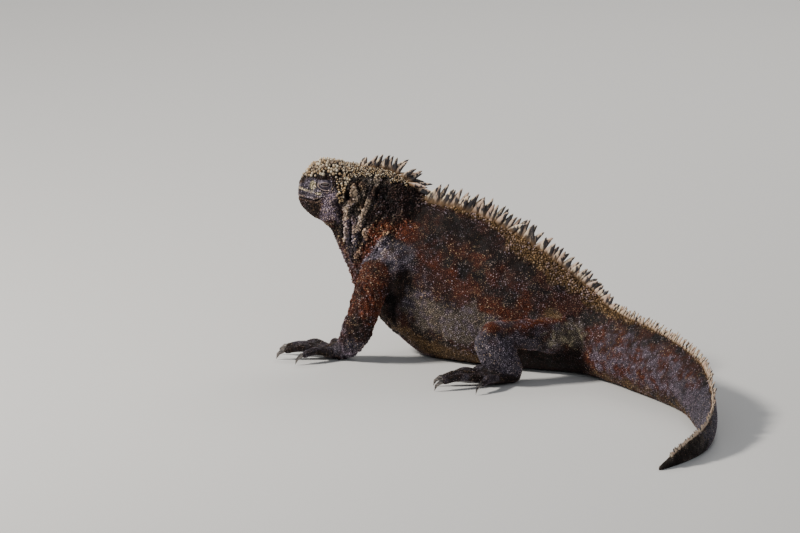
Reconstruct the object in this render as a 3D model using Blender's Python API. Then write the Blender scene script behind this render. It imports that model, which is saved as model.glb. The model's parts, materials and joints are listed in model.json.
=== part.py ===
"""A marine iguana at life size, as a still museum model: propped on its left foreleg, its belly on the floor.

The animal faces -X and its left side faces -Y. The origin is on the floor, under the middle of the belly.
Head, neck, torso and tail are lengths of one tube through named rings. Each limb is two shorter tubes and a
hand or foot. Every piece is cut back from the one that it grows from, so that they meet with a thin gap.
Crest spines and crown tubercles are set on the rings by rule and fused to the length that carries them.
"""

import math
import random

import bmesh
import bpy
import numpy as np
from mathutils import Matrix, Vector

# Driving sizes, in metres.
GAP = 0.0003  # kept between pieces that meet
HEAD_YAW = math.radians(20)  # the head is turned to the animal's left
SNOUT = Vector((-0.2985, -0.0385, 0.2075))  # the front of the mouth line
TRUNK_AROUND = 24  # points round the head, neck and torso
TAIL_AROUND = 14
LIMB_AROUND = 12
TOE_AROUND = 6
CLAW_AROUND = 4
TORSO_STEP = 0.0142  # length of one band of faces
TAIL_STEP = 0.0160
NECK_STEP = 0.0056
HEAD_STEP = 0.0054
ROOT_TURNS = (50,)  # steps of a limb's round ends, in degrees
END_TURNS = (72, 36)

MM = 0.001
UP = Vector((0, 0, 1))
BACKWARD = Vector((math.cos(HEAD_YAW), math.sin(HEAD_YAW), 0))  # from the snout along the head
HEAD_LEFT = BACKWARD.cross(UP)

SKIN_COLOUR = (0.075, 0.055, 0.05, 1)
CLAW_COLOUR = (0.05, 0.05, 0.055, 1)
EYE_COLOUR = (0.05, 0.03, 0.02, 1)

# Head rings: top (along, level), bottom (along, level) and half width, in millimetres from the snout.
HEAD_RINGS = [
    ((0.0, 11.0), (0.0, 3.5), 4.0),
    ((0.6, 16.5), (0.6, -1.5), 10.0),
    ((2.5, 21.5), (2.0, -6.0), 14.0),
    ((5.5, 26.0), (4.5, -11.0), 17.0),
    ((10.0, 31.5), (8.0, -15.5), 19.5),
    ((17.0, 39.0), (13.0, -20.5), 22.5),
    ((26.0, 45.5), (19.0, -25.0), 26.0),
    ((37.0, 48.5), (25.0, -28.5), 29.5),
    ((50.0, 47.5), (31.0, -31.0), 32.5),
    ((63.0, 45.5), (36.0, -34.0), 34.0),
    ((76.0, 44.5), (41.0, -39.0), 34.5),
]

# Neck and torso rings: back (x, z), belly (x, z), y of the middle and half width, in metres.
TRUNK_RINGS = [
    ((-0.2050, 0.2530), (-0.2560, 0.1580), -0.0137, 0.0350),
    ((-0.1820, 0.2510), (-0.2490, 0.1420), -0.0107, 0.0370),
    ((-0.1600, 0.2430), (-0.2405, 0.1230), -0.0084, 0.0400),
    ((-0.1400, 0.2290), (-0.2320, 0.1050), -0.0065, 0.0430),
    ((-0.1220, 0.2130), (-0.2210, 0.0840), -0.0048, 0.0470),
    ((-0.1000, 0.2090), (-0.2000, 0.0590), -0.0030, 0.0505),
    ((-0.0700, 0.2050), (-0.1660, 0.0280), -0.0012, 0.0540),
    ((-0.0340, 0.1950), (-0.1220, 0.0000), 0.0000, 0.0570),
    ((0.0047, 0.1790), (-0.0750, -0.0060), 0.0000, 0.0595),
    ((0.0420, 0.1615), (-0.0280, -0.0060), 0.0000, 0.0600),
    ((0.0790, 0.1390), (0.0220, -0.0050), 0.0000, 0.0575),
    ((0.1090, 0.1200), (0.0620, -0.0040), 0.0000, 0.0520),
    ((0.1310, 0.1050), (0.0980, -0.0030), -0.0030, 0.0460),
    ((0.1520, 0.0950), (0.1330, -0.0020), -0.0130, 0.0410),
]

# Tail rings: middle of the underside on the floor (x, y), height, how far the back leans out, half width.
TAIL_RINGS = [
    ((0.1780, -0.0350), 0.0900, 0.0050, 0.0360),
    ((0.2220, -0.0700), 0.0860, 0.0140, 0.0290),
    ((0.2830, -0.1140), 0.0770, 0.0190, 0.0235),
    ((0.3290, -0.1530), 0.0670, 0.0200, 0.0195),
    ((0.3740, -0.2130), 0.0540, 0.0160, 0.0150),
    ((0.4130, -0.2790), 0.0430, 0.0090, 0.0108),
    ((0.4330, -0.3450), 0.0340, 0.0040, 0.0080),
    ((0.4310, -0.4050), 0.0230, 0.0020, 0.0055),
    ((0.4225, -0.4505), 0.0060, 0.0000, 0.0024),
]
TAIL_SINK = 0.0015  # the underside reaches this far under the floor, where it is cut flat

# Section of each part of the body: how high its widest level is, and how full the top and the bottom are.
HEAD_SECTION = (0.42, 2.4, 2.5)
NECK_SECTION = (0.45, 2.0, 2.2)
TORSO_SECTION = (0.38, 1.65, 2.5)
TAIL_SECTION = (0.36, 1.45, 2.4)

# Where each node ends, counted in rings from the snout.
HEAD_END = 11.5
NECK_END = 14.9
TORSO_END = 24.3
TAIL_ENDS = (26.6, 28.2, 29.9, 32.99)

# Broad forms of the head: along, level, spread and height, in millimetres, alike on both sides.
HEAD_FORMS = [
    (35.0, 34.5, 6.5, 3.0),  # brow
    (47.0, 31.0, 6.0, 1.8),  # end of the brow
    (24.0, 23.0, 5.5, -2.6),  # hollow in front of the eye
    (38.0, 24.0, 6.0, -2.6),  # eye socket
    (38.0, 12.0, 5.0, -1.4),  # hollow under the eye
    (6.5, 21.0, 4.0, 2.2),  # nostril
    (10.0, 7.0, 5.0, 1.4),  # upper lip
    (24.0, 7.0, 5.0, 1.4),
    (20.0, -7.0, 6.0, 1.2),  # lower lip
    (49.0, -2.0, 8.0, 3.0),  # cheek
    (60.0, 18.0, 9.0, 1.6),  # jaw muscle
    (58.0, -16.0, 8.0, 2.0),  # jowl
]

# Folds of the neck, as lines of (x, z) on its side.
NECK_FOLDS = [
    [(-0.2183, 0.2269), (-0.2163, 0.2111), (-0.2275, 0.1987), (-0.2274, 0.1751), (-0.2290, 0.1541)],
    [(-0.1849, 0.2410), (-0.1925, 0.2138), (-0.2044, 0.1889), (-0.2120, 0.1650), (-0.2200, 0.1430)],
    [(-0.1690, 0.2200), (-0.1745, 0.2077), (-0.1894, 0.1790), (-0.2044, 0.1513), (-0.2124, 0.1315)],
]
FOLD_HEIGHT = 0.0034
FOLD_SPREAD = 0.0038


def head_place(along, left, level):
    """A place in the head's own frame, in millimetres: along from the snout, to its left, above its mouth."""
    return SNOUT + (BACKWARD * along + HEAD_LEFT * left + UP * level) * MM


def body_rings():
    """Each ring as one row: back point, belly point, half width, widest level, fullness above and below."""
    rows = []
    for top, bottom, half_width in HEAD_RINGS:
        back = head_place(top[0], 0, top[1])
        belly = head_place(bottom[0], 0, bottom[1])
        rows.append([*back, *belly, half_width * MM, *HEAD_SECTION])
    for number, (back, belly, middle, half_width) in enumerate(TRUNK_RINGS):
        section = NECK_SECTION if number < 4 else TORSO_SECTION
        rows.append([back[0], middle, back[1], belly[0], middle, belly[1], half_width, *section])
    last = len(TAIL_RINGS) - 1
    for number, (foot, height, lean, half_width) in enumerate(TAIL_RINGS):
        before, after = TAIL_RINGS[max(number - 1, 0)][0], TAIL_RINGS[min(number + 1, last)][0]
        travel = Vector((after[0] - before[0], after[1] - before[1], 0)).normalized()
        back = Vector((foot[0], foot[1], height)) - travel.cross(UP) * lean
        rows.append([*back, *foot, -TAIL_SINK, half_width, *TAIL_SECTION])
    return np.array(rows)


def smooth(rows, at):
    """Every column of rows as a smooth curve through its rows, read at a place counted in rows."""
    last = len(rows) - 1
    at = min(max(at, 0.0), last)
    low = min(int(at), last - 1)
    near = max(low - 1, 0)
    some = rows[near : low + 3]
    spans = np.linalg.norm(np.diff(some[:, :3], axis=0), axis=1) + 1e-6
    slopes = np.diff(some, axis=0) / spans[:, None]
    here = low - near

    def slope_at(k):
        if k == 0 or k == len(some) - 1:
            return slopes[min(k, len(slopes) - 1)]
        return (slopes[k - 1] * spans[k] + slopes[k] * spans[k - 1]) / (spans[k - 1] + spans[k])

    part, span = at - low, spans[here]
    square, cube = part * part, part**3
    return (
        rows[low] * (2 * cube - 3 * square + 1)
        + slope_at(here) * span * (cube - 2 * square + part)
        + rows[low + 1] * (3 * square - 2 * cube)
        + slope_at(here + 1) * span * (cube - square)
    )


RINGS = body_rings()


def body_frame(at):
    """Ring values, the way from belly to back, the left side and the travel of the body at a ring place."""
    row = smooth(RINGS, at)
    after, before = smooth(RINGS, at + 0.1), smooth(RINGS, at - 0.1)
    travel = Vector((after - before)[:3] + (after - before)[3:6]).normalized()
    up = Vector(row[:3]) - Vector(row[3:6])
    left = travel.cross(up).normalized()
    return row, up, left, up.cross(left).normalized()


def line_distance(x, z, line):
    best = 1.0
    for (ax, az), (bx, bz) in zip(line, line[1:]):
        long_x, long_z = bx - ax, bz - az
        share = ((x - ax) * long_x + (z - az) * long_z) / (long_x**2 + long_z**2)
        share = min(max(share, 0), 1)
        best = min(best, math.hypot(x - ax - share * long_x, z - az - share * long_z))
    return best


def raised(point):
    """How far the head's broad forms and the neck's folds stand out of the plain tube here."""
    offset = (point - SNOUT) / MM
    along, left, level = offset.dot(BACKWARD), offset.dot(HEAD_LEFT), offset.z
    out = 0.0
    if abs(left) > 5 and along < 95:
        for form_along, form_level, spread, height in HEAD_FORMS:
            away = (along - form_along) ** 2 + (level - form_level) ** 2
            out += height * MM * math.exp(-away / (2 * spread**2))
    if abs(point.y + 0.01) > 0.012:
        for fold in NECK_FOLDS:
            out += FOLD_HEIGHT * math.exp(-((line_distance(point.x, point.z, fold) / FOLD_SPREAD) ** 2) / 2)
    return out


def body_ring(at, grow=0.0, push=0.0, count=TRUNK_AROUND):
    """The points of one ring, from the back round the left side. grow swells it, push moves it along."""
    row, up, left, ahead = body_frame(at)
    height = up.length
    upright = up / height
    widest, top_full, belly_full = row[7:10]
    heart = Vector(row[3:6]) + up * widest + ahead * push
    points = []
    for number in range(count):
        angle = 2 * math.pi * number / count
        rise, out = math.cos(angle), math.sin(angle)
        full = top_full if rise > 0 else belly_full
        reach = height * (1 - widest if rise > 0 else widest) + grow
        lift = math.copysign(abs(rise) ** (2 / full) * reach, rise)
        side = math.copysign(abs(out) ** (2 / full) * (row[6] + grow), out)
        point = heart + upright * lift + left * side
        if at < NECK_END:
            point += (point - heart).normalized() * raised(point)
        points.append(point)
    return points


def body_places(start, end, step):
    """Places along the body between two ends, a near-even step apart."""
    fine = np.linspace(start, end, 200)
    rows = np.array([smooth(RINGS, at) for at in fine])
    middles = (rows[:, :3] + rows[:, 3:6]) / 2
    travelled = np.concatenate([[0], np.cumsum(np.linalg.norm(np.diff(middles, axis=0), axis=1))])
    count = max(2, round(travelled[-1] / step) + 1)
    return list(np.interp(np.linspace(0, travelled[-1], count), travelled, fine))


def mesh_object(name, points, faces):
    mesh = bpy.data.meshes.new(name)
    mesh.from_pydata([tuple(point) for point in points], [], faces)
    work = bmesh.new()
    work.from_mesh(mesh)
    bmesh.ops.remove_doubles(work, verts=work.verts, dist=1e-6)
    bmesh.ops.recalc_face_normals(work, faces=work.faces)
    work.to_mesh(mesh)
    work.free()
    made = bpy.data.objects.new(name, mesh)
    bpy.context.scene.collection.objects.link(made)
    return made


def loft(name, rings, tip=None):
    """One closed body through rings of points, with flat ends, or with a point at the far end."""
    count = len(rings[0])
    points = [point for ring in rings for point in ring]
    faces = []
    for band in range(len(rings) - 1):
        for number in range(count):
            after = (number + 1) % count
            low, high = band * count, (band + 1) * count
            faces.append((low + number, low + after, high + after))
            faces.append((low + number, high + after, high + number))
    faces.append(tuple(range(count)))
    last = (len(rings) - 1) * count
    if tip is None:
        faces.append(tuple(range(last, last + count)))
    else:
        points.append(tip)
        faces += [(last + number, last + (number + 1) % count, len(points) - 1) for number in range(count)]
    return mesh_object(name, points, faces)


def combine(target, others, operation, solver="EXACT"):
    """Applies a Boolean of a collection of helpers to the target, then removes the helpers."""
    group = bpy.data.collections.new("helpers")
    bpy.context.scene.collection.children.link(group)
    for other in others:
        bpy.context.scene.collection.objects.unlink(other)
        group.objects.link(other)
    cut = target.modifiers.new("combine", "BOOLEAN")
    cut.operand_type = "COLLECTION"
    cut.collection = group
    cut.operation = operation
    cut.solver = solver
    bpy.context.view_layer.update()
    graph = bpy.context.evaluated_depsgraph_get()
    result = bpy.data.meshes.new_from_object(target.evaluated_get(graph))
    target.modifiers.clear()
    target.data = result
    for other in list(group.objects):
        bpy.data.objects.remove(other)
    bpy.data.collections.remove(group)
    return target


def keep_largest(target):
    """Keeps the closed surface that takes most room, and drops any loose scrap or sealed hollow."""
    work = bmesh.new()
    work.from_mesh(target.data)
    bmesh.ops.triangulate(work, faces=work.faces)
    left_over = set(work.verts)
    best, best_volume = set(), -1.0
    while left_over:
        shell, waiting = set(), [left_over.pop()]
        while waiting:
            vert = waiting.pop()
            shell.add(vert)
            for edge in vert.link_edges:
                other = edge.other_vert(vert)
                if other in left_over:
                    left_over.discard(other)
                    waiting.append(other)
        faces = {face for vert in shell for face in vert.link_faces}
        corners = [[vert.co for vert in face.verts] for face in faces]
        volume = sum(a.cross(b).dot(c) for a, b, c in corners) / 6
        if volume > best_volume:
            best, best_volume = shell, volume
    bmesh.ops.delete(work, geom=[vert for vert in work.verts if vert not in best], context="VERTS")
    work.to_mesh(target.data)
    work.free()
    return target


def floor_cutter():
    """A slab under the floor, which gives what rests on it a flat."""
    size, depth = 1.5, 0.1
    square = ((-size, -size), (size, -size), (size, size), (-size, size))
    corners = [Vector((x, y, z)) for z in (-depth, 0) for x, y in square]
    faces = [(0, 3, 2, 1), (4, 5, 6, 7), (0, 1, 5, 4), (1, 2, 6, 5), (2, 3, 7, 6), (3, 0, 4, 7)]
    return mesh_object("floor_cutter", corners, faces)


def body_length(name, start, end, step, count):
    """One length of the body, with its end planes half a gap short of the cuts."""
    places = body_places(start, end, step)
    rings = [body_ring(at, count=count) for at in places]
    rings[0] = body_ring(start, 0.0, GAP / 2 if start > 0 else 0, count)
    rings[-1] = body_ring(end, 0.0, -GAP / 2, count)
    return loft(name, rings)


def body_core(grow):
    """Neck, torso and tail base in one, swollen by the gap: what the limbs are cut back from."""
    places = []
    for start, end, step in ((HEAD_END, NECK_END, NECK_STEP), (NECK_END, TORSO_END, TORSO_STEP)):
        places += body_places(start, end, step)[:-1]
    places += body_places(TORSO_END, TAIL_ENDS[0], TAIL_STEP)
    return loft("body_core", [body_ring(at, grow) for at in places])


def round_tube(name, rows, count, grow=0.0, reference=UP, bands=2, end_turns=END_TURNS):
    """A tube through rows of (x, y, z, half width, half thickness), closed with round ends."""
    rows = np.array(rows, float)
    last = len(rows) - 1
    rings = []

    def ring(at, shrink, push):
        row = smooth(rows, at)
        travel = Vector((smooth(rows, at + 0.05) - smooth(rows, at - 0.05))[:3]).normalized()
        side = (reference - travel * reference.dot(travel)).normalized()
        other = travel.cross(side)
        middle = Vector(row[:3]) + travel * push
        return [
            middle
            + other * (math.cos(2 * math.pi * k / count) * (row[3] + grow) * shrink)
            + side * (math.sin(2 * math.pi * k / count) * (row[4] + grow) * shrink)
            for k in range(count)
        ]

    for turn in ROOT_TURNS:
        push = (rows[0][4] + grow) * math.sin(math.radians(turn)) * 0.8
        rings.append(ring(0, math.cos(math.radians(turn)), -push))
    rings += [ring(at, 1, 0) for at in np.linspace(0, last, last * bands + 1)]
    for turn in reversed(end_turns):
        push = (rows[-1][4] + grow) * math.sin(math.radians(turn)) * 0.8
        rings.append(ring(last, math.cos(math.radians(turn)), push))
    return loft(name, rings)


# Limbs: rows of (x, y, z, half width, half thickness) from the root, which is sunk in the body.
LEFT_FORE = {
    "upper_arm": [
        (-0.158, -0.026, 0.130, 0.030, 0.034),
        (-0.166, -0.052, 0.119, 0.026, 0.030),
        (-0.174, -0.074, 0.096, 0.020, 0.0225),
        (-0.181, -0.087, 0.064, 0.019, 0.0205),
    ],
    "forearm": [
        (-0.181, -0.087, 0.064, 0.0178, 0.0190),
        (-0.191, -0.085, 0.041, 0.0190, 0.0205),
        (-0.204, -0.081, 0.017, 0.0165, 0.0150),
    ],
    "wrist": Vector((-0.206, -0.081, 0)),
    "turn": 17,
}
RIGHT_FORE = {
    "upper_arm": [
        (-0.158, 0.026, 0.128, 0.030, 0.034),
        (-0.152, 0.054, 0.115, 0.026, 0.030),
        (-0.134, 0.082, 0.092, 0.020, 0.0225),
        (-0.112, 0.098, 0.066, 0.019, 0.0205),
    ],
    "forearm": [
        (-0.112, 0.098, 0.066, 0.0178, 0.0190),
        (-0.110, 0.094, 0.041, 0.0190, 0.0205),
        (-0.113, 0.086, 0.017, 0.0165, 0.0150),
    ],
    "wrist": Vector((-0.115, 0.086, 0)),
    "turn": 30,
}
LEFT_HIND = {
    "thigh": [
        (0.096, -0.022, 0.054, 0.030, 0.029),
        (0.082, -0.056, 0.059, 0.0245, 0.0235),
        (0.055, -0.092, 0.064, 0.0205, 0.0190),
        (0.024, -0.121, 0.066, 0.0185, 0.0180),
    ],
    "shank": [
        (0.023, -0.122, 0.060, 0.0195, 0.0210),
        (0.034, -0.118, 0.042, 0.0210, 0.0250),
        (0.050, -0.106, 0.0170, 0.0150, 0.0155),
    ],
    "wrist": Vector((0.052, -0.107, 0)),
    "turn": 40,
}
RIGHT_HIND = {
    "thigh": [
        (0.096, 0.020, 0.054, 0.030, 0.029),
        (0.086, 0.054, 0.059, 0.0245, 0.0235),
        (0.064, 0.088, 0.064, 0.0205, 0.0190),
        (0.036, 0.116, 0.066, 0.0185, 0.0180),
    ],
    "shank": [
        (0.035, 0.117, 0.060, 0.0195, 0.0210),
        (0.048, 0.114, 0.042, 0.0210, 0.0250),
        (0.066, 0.104, 0.0170, 0.0150, 0.0155),
    ],
    "wrist": Vector((0.068, 0.105, 0)),
    "turn": 36,
}

# Palm and sole: share of the length, level, half width and half thickness.
FORE_PALM = (0.027, [(0, 0.0140, 0.0145, 0.0130), (0.5, 0.0115, 0.0155, 0.0115), (1, 0.0100, 0.0165, 0.0092)])
HIND_PALM = (0.040, [(0, 0.0145, 0.0140, 0.0140), (0.5, 0.0115, 0.0150, 0.0118), (1, 0.0100, 0.0160, 0.0094)])
# Digits from the inner one: turn outwards from the line of the hand, length, and how far back it starts.
FORE_DIGITS = [(-62, 0.024, 0.012), (-31, 0.040, 0.004), (-9, 0.053, 0), (10, 0.053, 0), (37, 0.040, 0.006)]
HIND_DIGITS = [(-50, 0.026, 0.012), (-27, 0.040, 0.004), (-9, 0.052, 0), (9, 0.058, 0), (40, 0.044, 0.020)]
# Along a digit: share of the length, level and thickness. It arches up over the knuckle.
DIGIT_SHAPE = [(0.0, 0.0095, 1.08), (0.36, 0.0135, 1.0), (0.72, 0.0160, 0.98), (1.0, 0.0125, 0.80)]
TOE_RADIUS = 0.0057
TOE_SINK = 0.0040  # each toe starts this far inside the palm
TOE_APART = 0.0045  # sideways from root to root
# Along a claw: share of the length, level, half width and half height, down to the tip on the floor.
CLAW_SHAPE = [(-0.22, 0.0125, 0.0027, 0.0040), (0.30, 0.0125, 0.0025, 0.0036), (0.74, 0.0078, 0.0018, 0.0024)]
CLAW_TIP_LEVEL = 0.0006
FORE_CLAW = 0.0150
HIND_CLAW = 0.0165


def palm_rows(limb, palm, side):
    turn = math.radians(limb["turn"])
    forward = Vector((-math.cos(turn), -math.sin(turn) * side, 0))
    length, shape = palm
    rows = []
    for share, level, half_width, half_thick in shape:
        place = limb["wrist"] + forward * (length * share)
        rows.append((place.x, place.y, level, half_width, half_thick))
    return rows, forward


def digit_rows(limb, palm, digit, number, side):
    """One digit: out of the palm, up over the knuckle and down towards the floor."""
    turn, length, set_back = digit
    rows, forward = palm_rows(limb, palm, side)
    heading = Matrix.Rotation(math.radians(turn) * side, 3, "Z") @ forward
    outwards = Vector((-forward.y, forward.x, 0)) * side
    palm_end = Vector((rows[-1][0], rows[-1][1], 0))
    root = palm_end - forward * (TOE_SINK + set_back) + outwards * ((number - 2) * TOE_APART)
    made = []
    for share, level, swell in DIGIT_SHAPE:
        place = root + heading * ((length + TOE_SINK * 1.5) * share)
        made.append((place.x, place.y, level, TOE_RADIUS * swell, TOE_RADIUS * swell))
    return made, heading


def toe_body(toe_rows, grow):
    return round_tube("toe", toe_rows, TOE_AROUND, grow, bands=1, end_turns=ROOT_TURNS)


def claw_body(name, toe_rows, heading, length):
    """A claw that leaves the toe's end and hooks down to the floor."""
    end = Vector((toe_rows[-1][0], toe_rows[-1][1], 0))
    across = UP.cross(heading)
    rings = []
    for number, (share, level, half_width, half_height) in enumerate(CLAW_SHAPE):
        dip = math.radians((0, 30, 62)[number])
        over = UP * math.cos(dip) + heading * math.sin(dip)
        middle = end + heading * (length * share) + UP * level
        rings.append(
            [
                middle
                + across * (math.sin(2 * math.pi * k / CLAW_AROUND) * half_width)
                + over * (math.cos(2 * math.pi * k / CLAW_AROUND) * half_height)
                for k in range(CLAW_AROUND)
            ]
        )
    return loft(name, rings, end + heading * (length * 0.92) + UP * CLAW_TIP_LEVEL)


def make_limb(side_name, limb, segments, palm, digits, claw_length):
    """Upper piece, lower piece, hand or foot, and claws of one limb, each cut back from its parent."""
    side = 1 if side_name.startswith("left") else -1
    upper, lower, end = segments
    reference = Vector((1, 0, 0)) if "fore" in side_name else UP
    upper_piece = round_tube(f"{side_name}_{upper}", limb[upper], LIMB_AROUND, reference=reference)
    combine(upper_piece, [body_core(GAP)], "DIFFERENCE")
    lower_piece = round_tube(f"{side_name}_{lower}", limb[lower], LIMB_AROUND, reference=reference)
    grown_upper = round_tube("grown_upper", limb[upper], LIMB_AROUND, GAP, reference)
    combine(lower_piece, [grown_upper, body_core(GAP)], "DIFFERENCE")
    hand = round_tube(f"{side_name}_{end}", palm_rows(limb, palm, side)[0], LIMB_AROUND, bands=1)
    toes = [digit_rows(limb, palm, digit, number, side) for number, digit in enumerate(digits)]
    toe_bodies = [toe_body(toe, 0) for toe, heading in toes]
    combine(hand, toe_bodies, "UNION")
    keep_largest(hand)
    grown_lower = round_tube("grown_lower", limb[lower], LIMB_AROUND, GAP, reference)
    combine(hand, [grown_lower, body_core(GAP)], "DIFFERENCE")
    made = [upper_piece, lower_piece, hand]
    for number, (toe, heading) in enumerate(toes):
        claw = claw_body(f"{side_name}_claw_{number + 1}", toe, heading, claw_length)
        combine(claw, [toe_body(toe, GAP)], "DIFFERENCE")
        made.append(claw)
    for piece in made:
        if "claw" not in piece.name:
            combine(piece, [floor_cutter()], "DIFFERENCE")
        keep_largest(piece)
    return made


# Crest rows: start and end in rings, spacing, then height and lean back from upright (in degrees)
# at the start, the middle and the end of the row, and length and width of a root.
NAPE_ROW = {
    "ends": (9.9, 14.35),
    "spacing": 0.0072,
    "heights": (0.0100, 0.0235, 0.0215),
    "leans": (-16, 16, 76),
    "root": (0.0068, 0.0030),
}
DORSAL_ROW = {
    "ends": (15.05, 24.2),
    "spacing": 0.0077,
    "heights": (0.0290, 0.0235, 0.0125),
    "leans": (5, 14, 42),
    "root": (0.0070, 0.0028),
}
TAIL_ROW = {
    "ends": (24.4, 32.5),
    "spacing": 0.0088,
    "heights": (0.0125, 0.0100, 0.0042),
    "leans": (40, 38, 44),
    "root": (0.0066, 0.0018),
}
SPINE_SINK = 0.0030
SPINE_SWEEP = 0.24  # how far a tip hangs back, as a share of the height
SPINE_WAIST = (0.45, 0.66, 0.07)  # level, size and sweep of the ring between root and tip
CUT_CLEAR = 0.0045  # no spine's root is nearer to a cut between nodes


def spine(root, up, back, height, length, width, sink):
    """One crest spine: a flat four-sided blade, swept back to its tip."""
    side = up.cross(back).normalized()
    waist, waist_size, waist_sweep = SPINE_WAIST
    rings = []
    for level, size, sweep in ((-sink, 1.0, 0.0), (height * waist, waist_size, waist_sweep)):
        middle = root + up * level + back * (height * sweep)
        long_half, side_half = back * (length * size / 2), side * (width * size / 2)
        rings.append([middle - long_half, middle + side_half, middle + long_half, middle - side_half])
    return loft("spine", rings, root + up * height + back * (height * SPINE_SWEEP))


def crest_stand(at, lean, tilt):
    """Root on the back line, then the way up and the way back of a spine that leans and tilts there."""
    values, up, left, ahead = body_frame(at)
    travel = Vector((smooth(RINGS, at + 0.1) - smooth(RINGS, at - 0.1))[:3])
    flat = Vector((travel.x, travel.y, 0)).normalized()
    stand = up.normalized()
    stand = (stand - flat * stand.dot(flat)).normalized()
    across = stand.cross(flat)
    upwards = stand * math.cos(lean) + flat * math.sin(lean)
    back = (flat * math.cos(lean) - stand * math.sin(lean)).normalized()
    return Vector(values[:3]), (upwards + across * math.sin(tilt)).normalized(), back


def crest(row, start, end, seed):
    """The spines of a row whose roots lie between two cuts."""
    chance = random.Random(seed)
    cuts = [Vector(smooth(RINGS, cut)[:3]) for cut in (start, end)]
    places = body_places(*row["ends"], row["spacing"])
    made = []
    for number, at in enumerate(places):
        share = number / (len(places) - 1)
        height = np.interp(share, (0, 0.5, 1), row["heights"]) * chance.uniform(0.84, 1.12)
        lean = math.radians(np.interp(share, (0, 0.5, 1), row["leans"]) + chance.uniform(-6, 6))
        root, upwards, back = crest_stand(at, lean, math.radians(chance.uniform(-7, 7)))
        if start < at < end and min((root - cut).length for cut in cuts) > CUT_CLEAR:
            sink = min(SPINE_SINK, 0.3 * body_frame(at)[1].length)
            made.append(spine(root, upwards, back, height, *row["root"], sink))
    return made


# Crown tubercles in rows across the head: along, number, half spread in degrees, width and height.
# Lengths are in millimetres.
CROWN_ROWS = [
    (10.0, 3, 40, 7.6, 2.2),
    (17.0, 5, 50, 8.2, 3.6),
    (24.5, 5, 46, 9.2, 4.8),
    (32.5, 6, 46, 9.8, 5.4),
    (41.0, 6, 46, 9.8, 5.2),
    (49.5, 6, 54, 9.4, 4.4),
    (58.0, 7, 64, 8.8, 4.0),
    (66.0, 9, 74, 8.4, 3.8),
    (74.0, 9, 80, 8.2, 3.6),
]
TUBERCLE_SIDES = 5
TUBERCLE_SINK = 0.0016
TUBERCLE_SHOULDER = (0.60, 0.66)  # level and size of the ring under the blunt tip


def tubercle(root, out, width, height, spin):
    """A blunt cone with a few sides, sunk in the skin."""
    forward = (BACKWARD - out * BACKWARD.dot(out)).normalized()
    side = out.cross(forward)
    rings = []
    for level, size in ((-TUBERCLE_SINK, 1.0), (height * TUBERCLE_SHOULDER[0], TUBERCLE_SHOULDER[1])):
        turns = [spin + 2 * math.pi * k / TUBERCLE_SIDES for k in range(TUBERCLE_SIDES)]
        middle, reach = root + out * level, width * size / 2
        rings.append([middle + (forward * math.cos(t) + side * math.sin(t)) * reach for t in turns])
    return loft("tubercle", rings, root + out * height)


def crown():
    """Tubercles over the top of the head, largest above the brow."""
    chance = random.Random(11)
    places = body_places(0.5, HEAD_END, 0.0005)
    backs = [(Vector(smooth(RINGS, at)[:3]) - SNOUT).dot(BACKWARD) / MM for at in places]
    made = []
    for row, (along, across, spread, width, height) in enumerate(CROWN_ROWS):
        at = np.interp(along, backs, places)
        points = body_ring(at, count=360)
        values, up, left, ahead = body_frame(at)
        heart = Vector(values[3:6]) + up * values[7]
        for number in range(across):
            share = (number + 0.5 * (row % 2)) / (across - 0.5) * 2 - 1
            root = points[round(spread * share + chance.uniform(-2, 2)) % 360]
            size = chance.uniform(0.88, 1.12) * MM
            spin = chance.uniform(0, 2 * math.pi)
            made.append(tubercle(root, (root - heart).normalized(), width * size, height * size, spin))
    return made


EYE_PLACE = (38.0, 23.2, 24.0)  # along, to the side and above the mouth line, in millimetres
EYE_RADIUS = 0.0064
LID_SIZE = (0.0092, 0.0078, 0.0074)  # half length, half height and half depth of the closed lids
SLIT_SIZE = (0.0060, 0.0016, 0.0110)
NOSTRIL_PLACE = (6.6, 12.0, 21.0)
EAR_PLACE = (69.5, 35.2, 5.0)
MOUTH_LINE = [(0.0, 0.5), (5.0, 2.3), (14.0, 1.6), (25.0, 0.8), (30.0, 2.5), (34.5, 6.0)]  # along and level
MOUTH_DEPTH = 0.0016
MOUTH_REACH = 0.0040  # the cutting wedge stands out this far
MOUTH_OPENING = 0.0030  # half its height there
MOUTH_CORNER = 0.35  # how much is left of it at the corners
NOSTRIL_SIZE = (0.0022, 0.0017, 0.0040)
EAR_SIZE = (0.0040, 0.0056, 0.0030)


def ball(name, middle, sizes, outwards, rows=5, count=8):
    """A round or oval body. sizes are along the head, upwards, and outwards."""
    axes = (BACKWARD * sizes[0], UP * sizes[1], outwards * sizes[2])
    points = [middle - axes[2]]
    for row in range(1, rows):
        depth, wide = -math.cos(math.pi * row / rows), math.sin(math.pi * row / rows)
        for number in range(count):
            angle = 2 * math.pi * number / count
            flat = axes[0] * (math.cos(angle) * wide) + axes[1] * (math.sin(angle) * wide)
            points.append(middle + flat + axes[2] * depth)
    points.append(middle + axes[2])
    top = len(points) - 1
    faces = []
    for number in range(count):
        after = (number + 1) % count
        faces.append((0, 1 + after, 1 + number))
        faces.append((top, top - count + number, top - count + after))
        for row in range(rows - 2):
            low, high = 1 + row * count, 1 + (row + 1) * count
            faces.append((low + number, low + after, high + after))
            faces.append((low + number, high + after, high + number))
    return mesh_object(name, points, faces)


def mouth_path():
    """Where the mouth meets the left side of the head: along, to the side and level, in millimetres."""
    found = []
    for at in body_places(0.3, 9.0, 0.0004):
        offsets = [(point - SNOUT) / MM for point in body_ring(at, count=180)[:90]]
        for first, second in zip(offsets, offsets[1:]):
            along = first.dot(BACKWARD)
            level = np.interp(along, *zip(*MOUTH_LINE))
            if first.z >= level > second.z:
                found.append((along, first.dot(HEAD_LEFT), level))
    return [min(found, key=lambda place: abs(place[0] - along)) for along, level in MOUTH_LINE[1:]]


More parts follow.
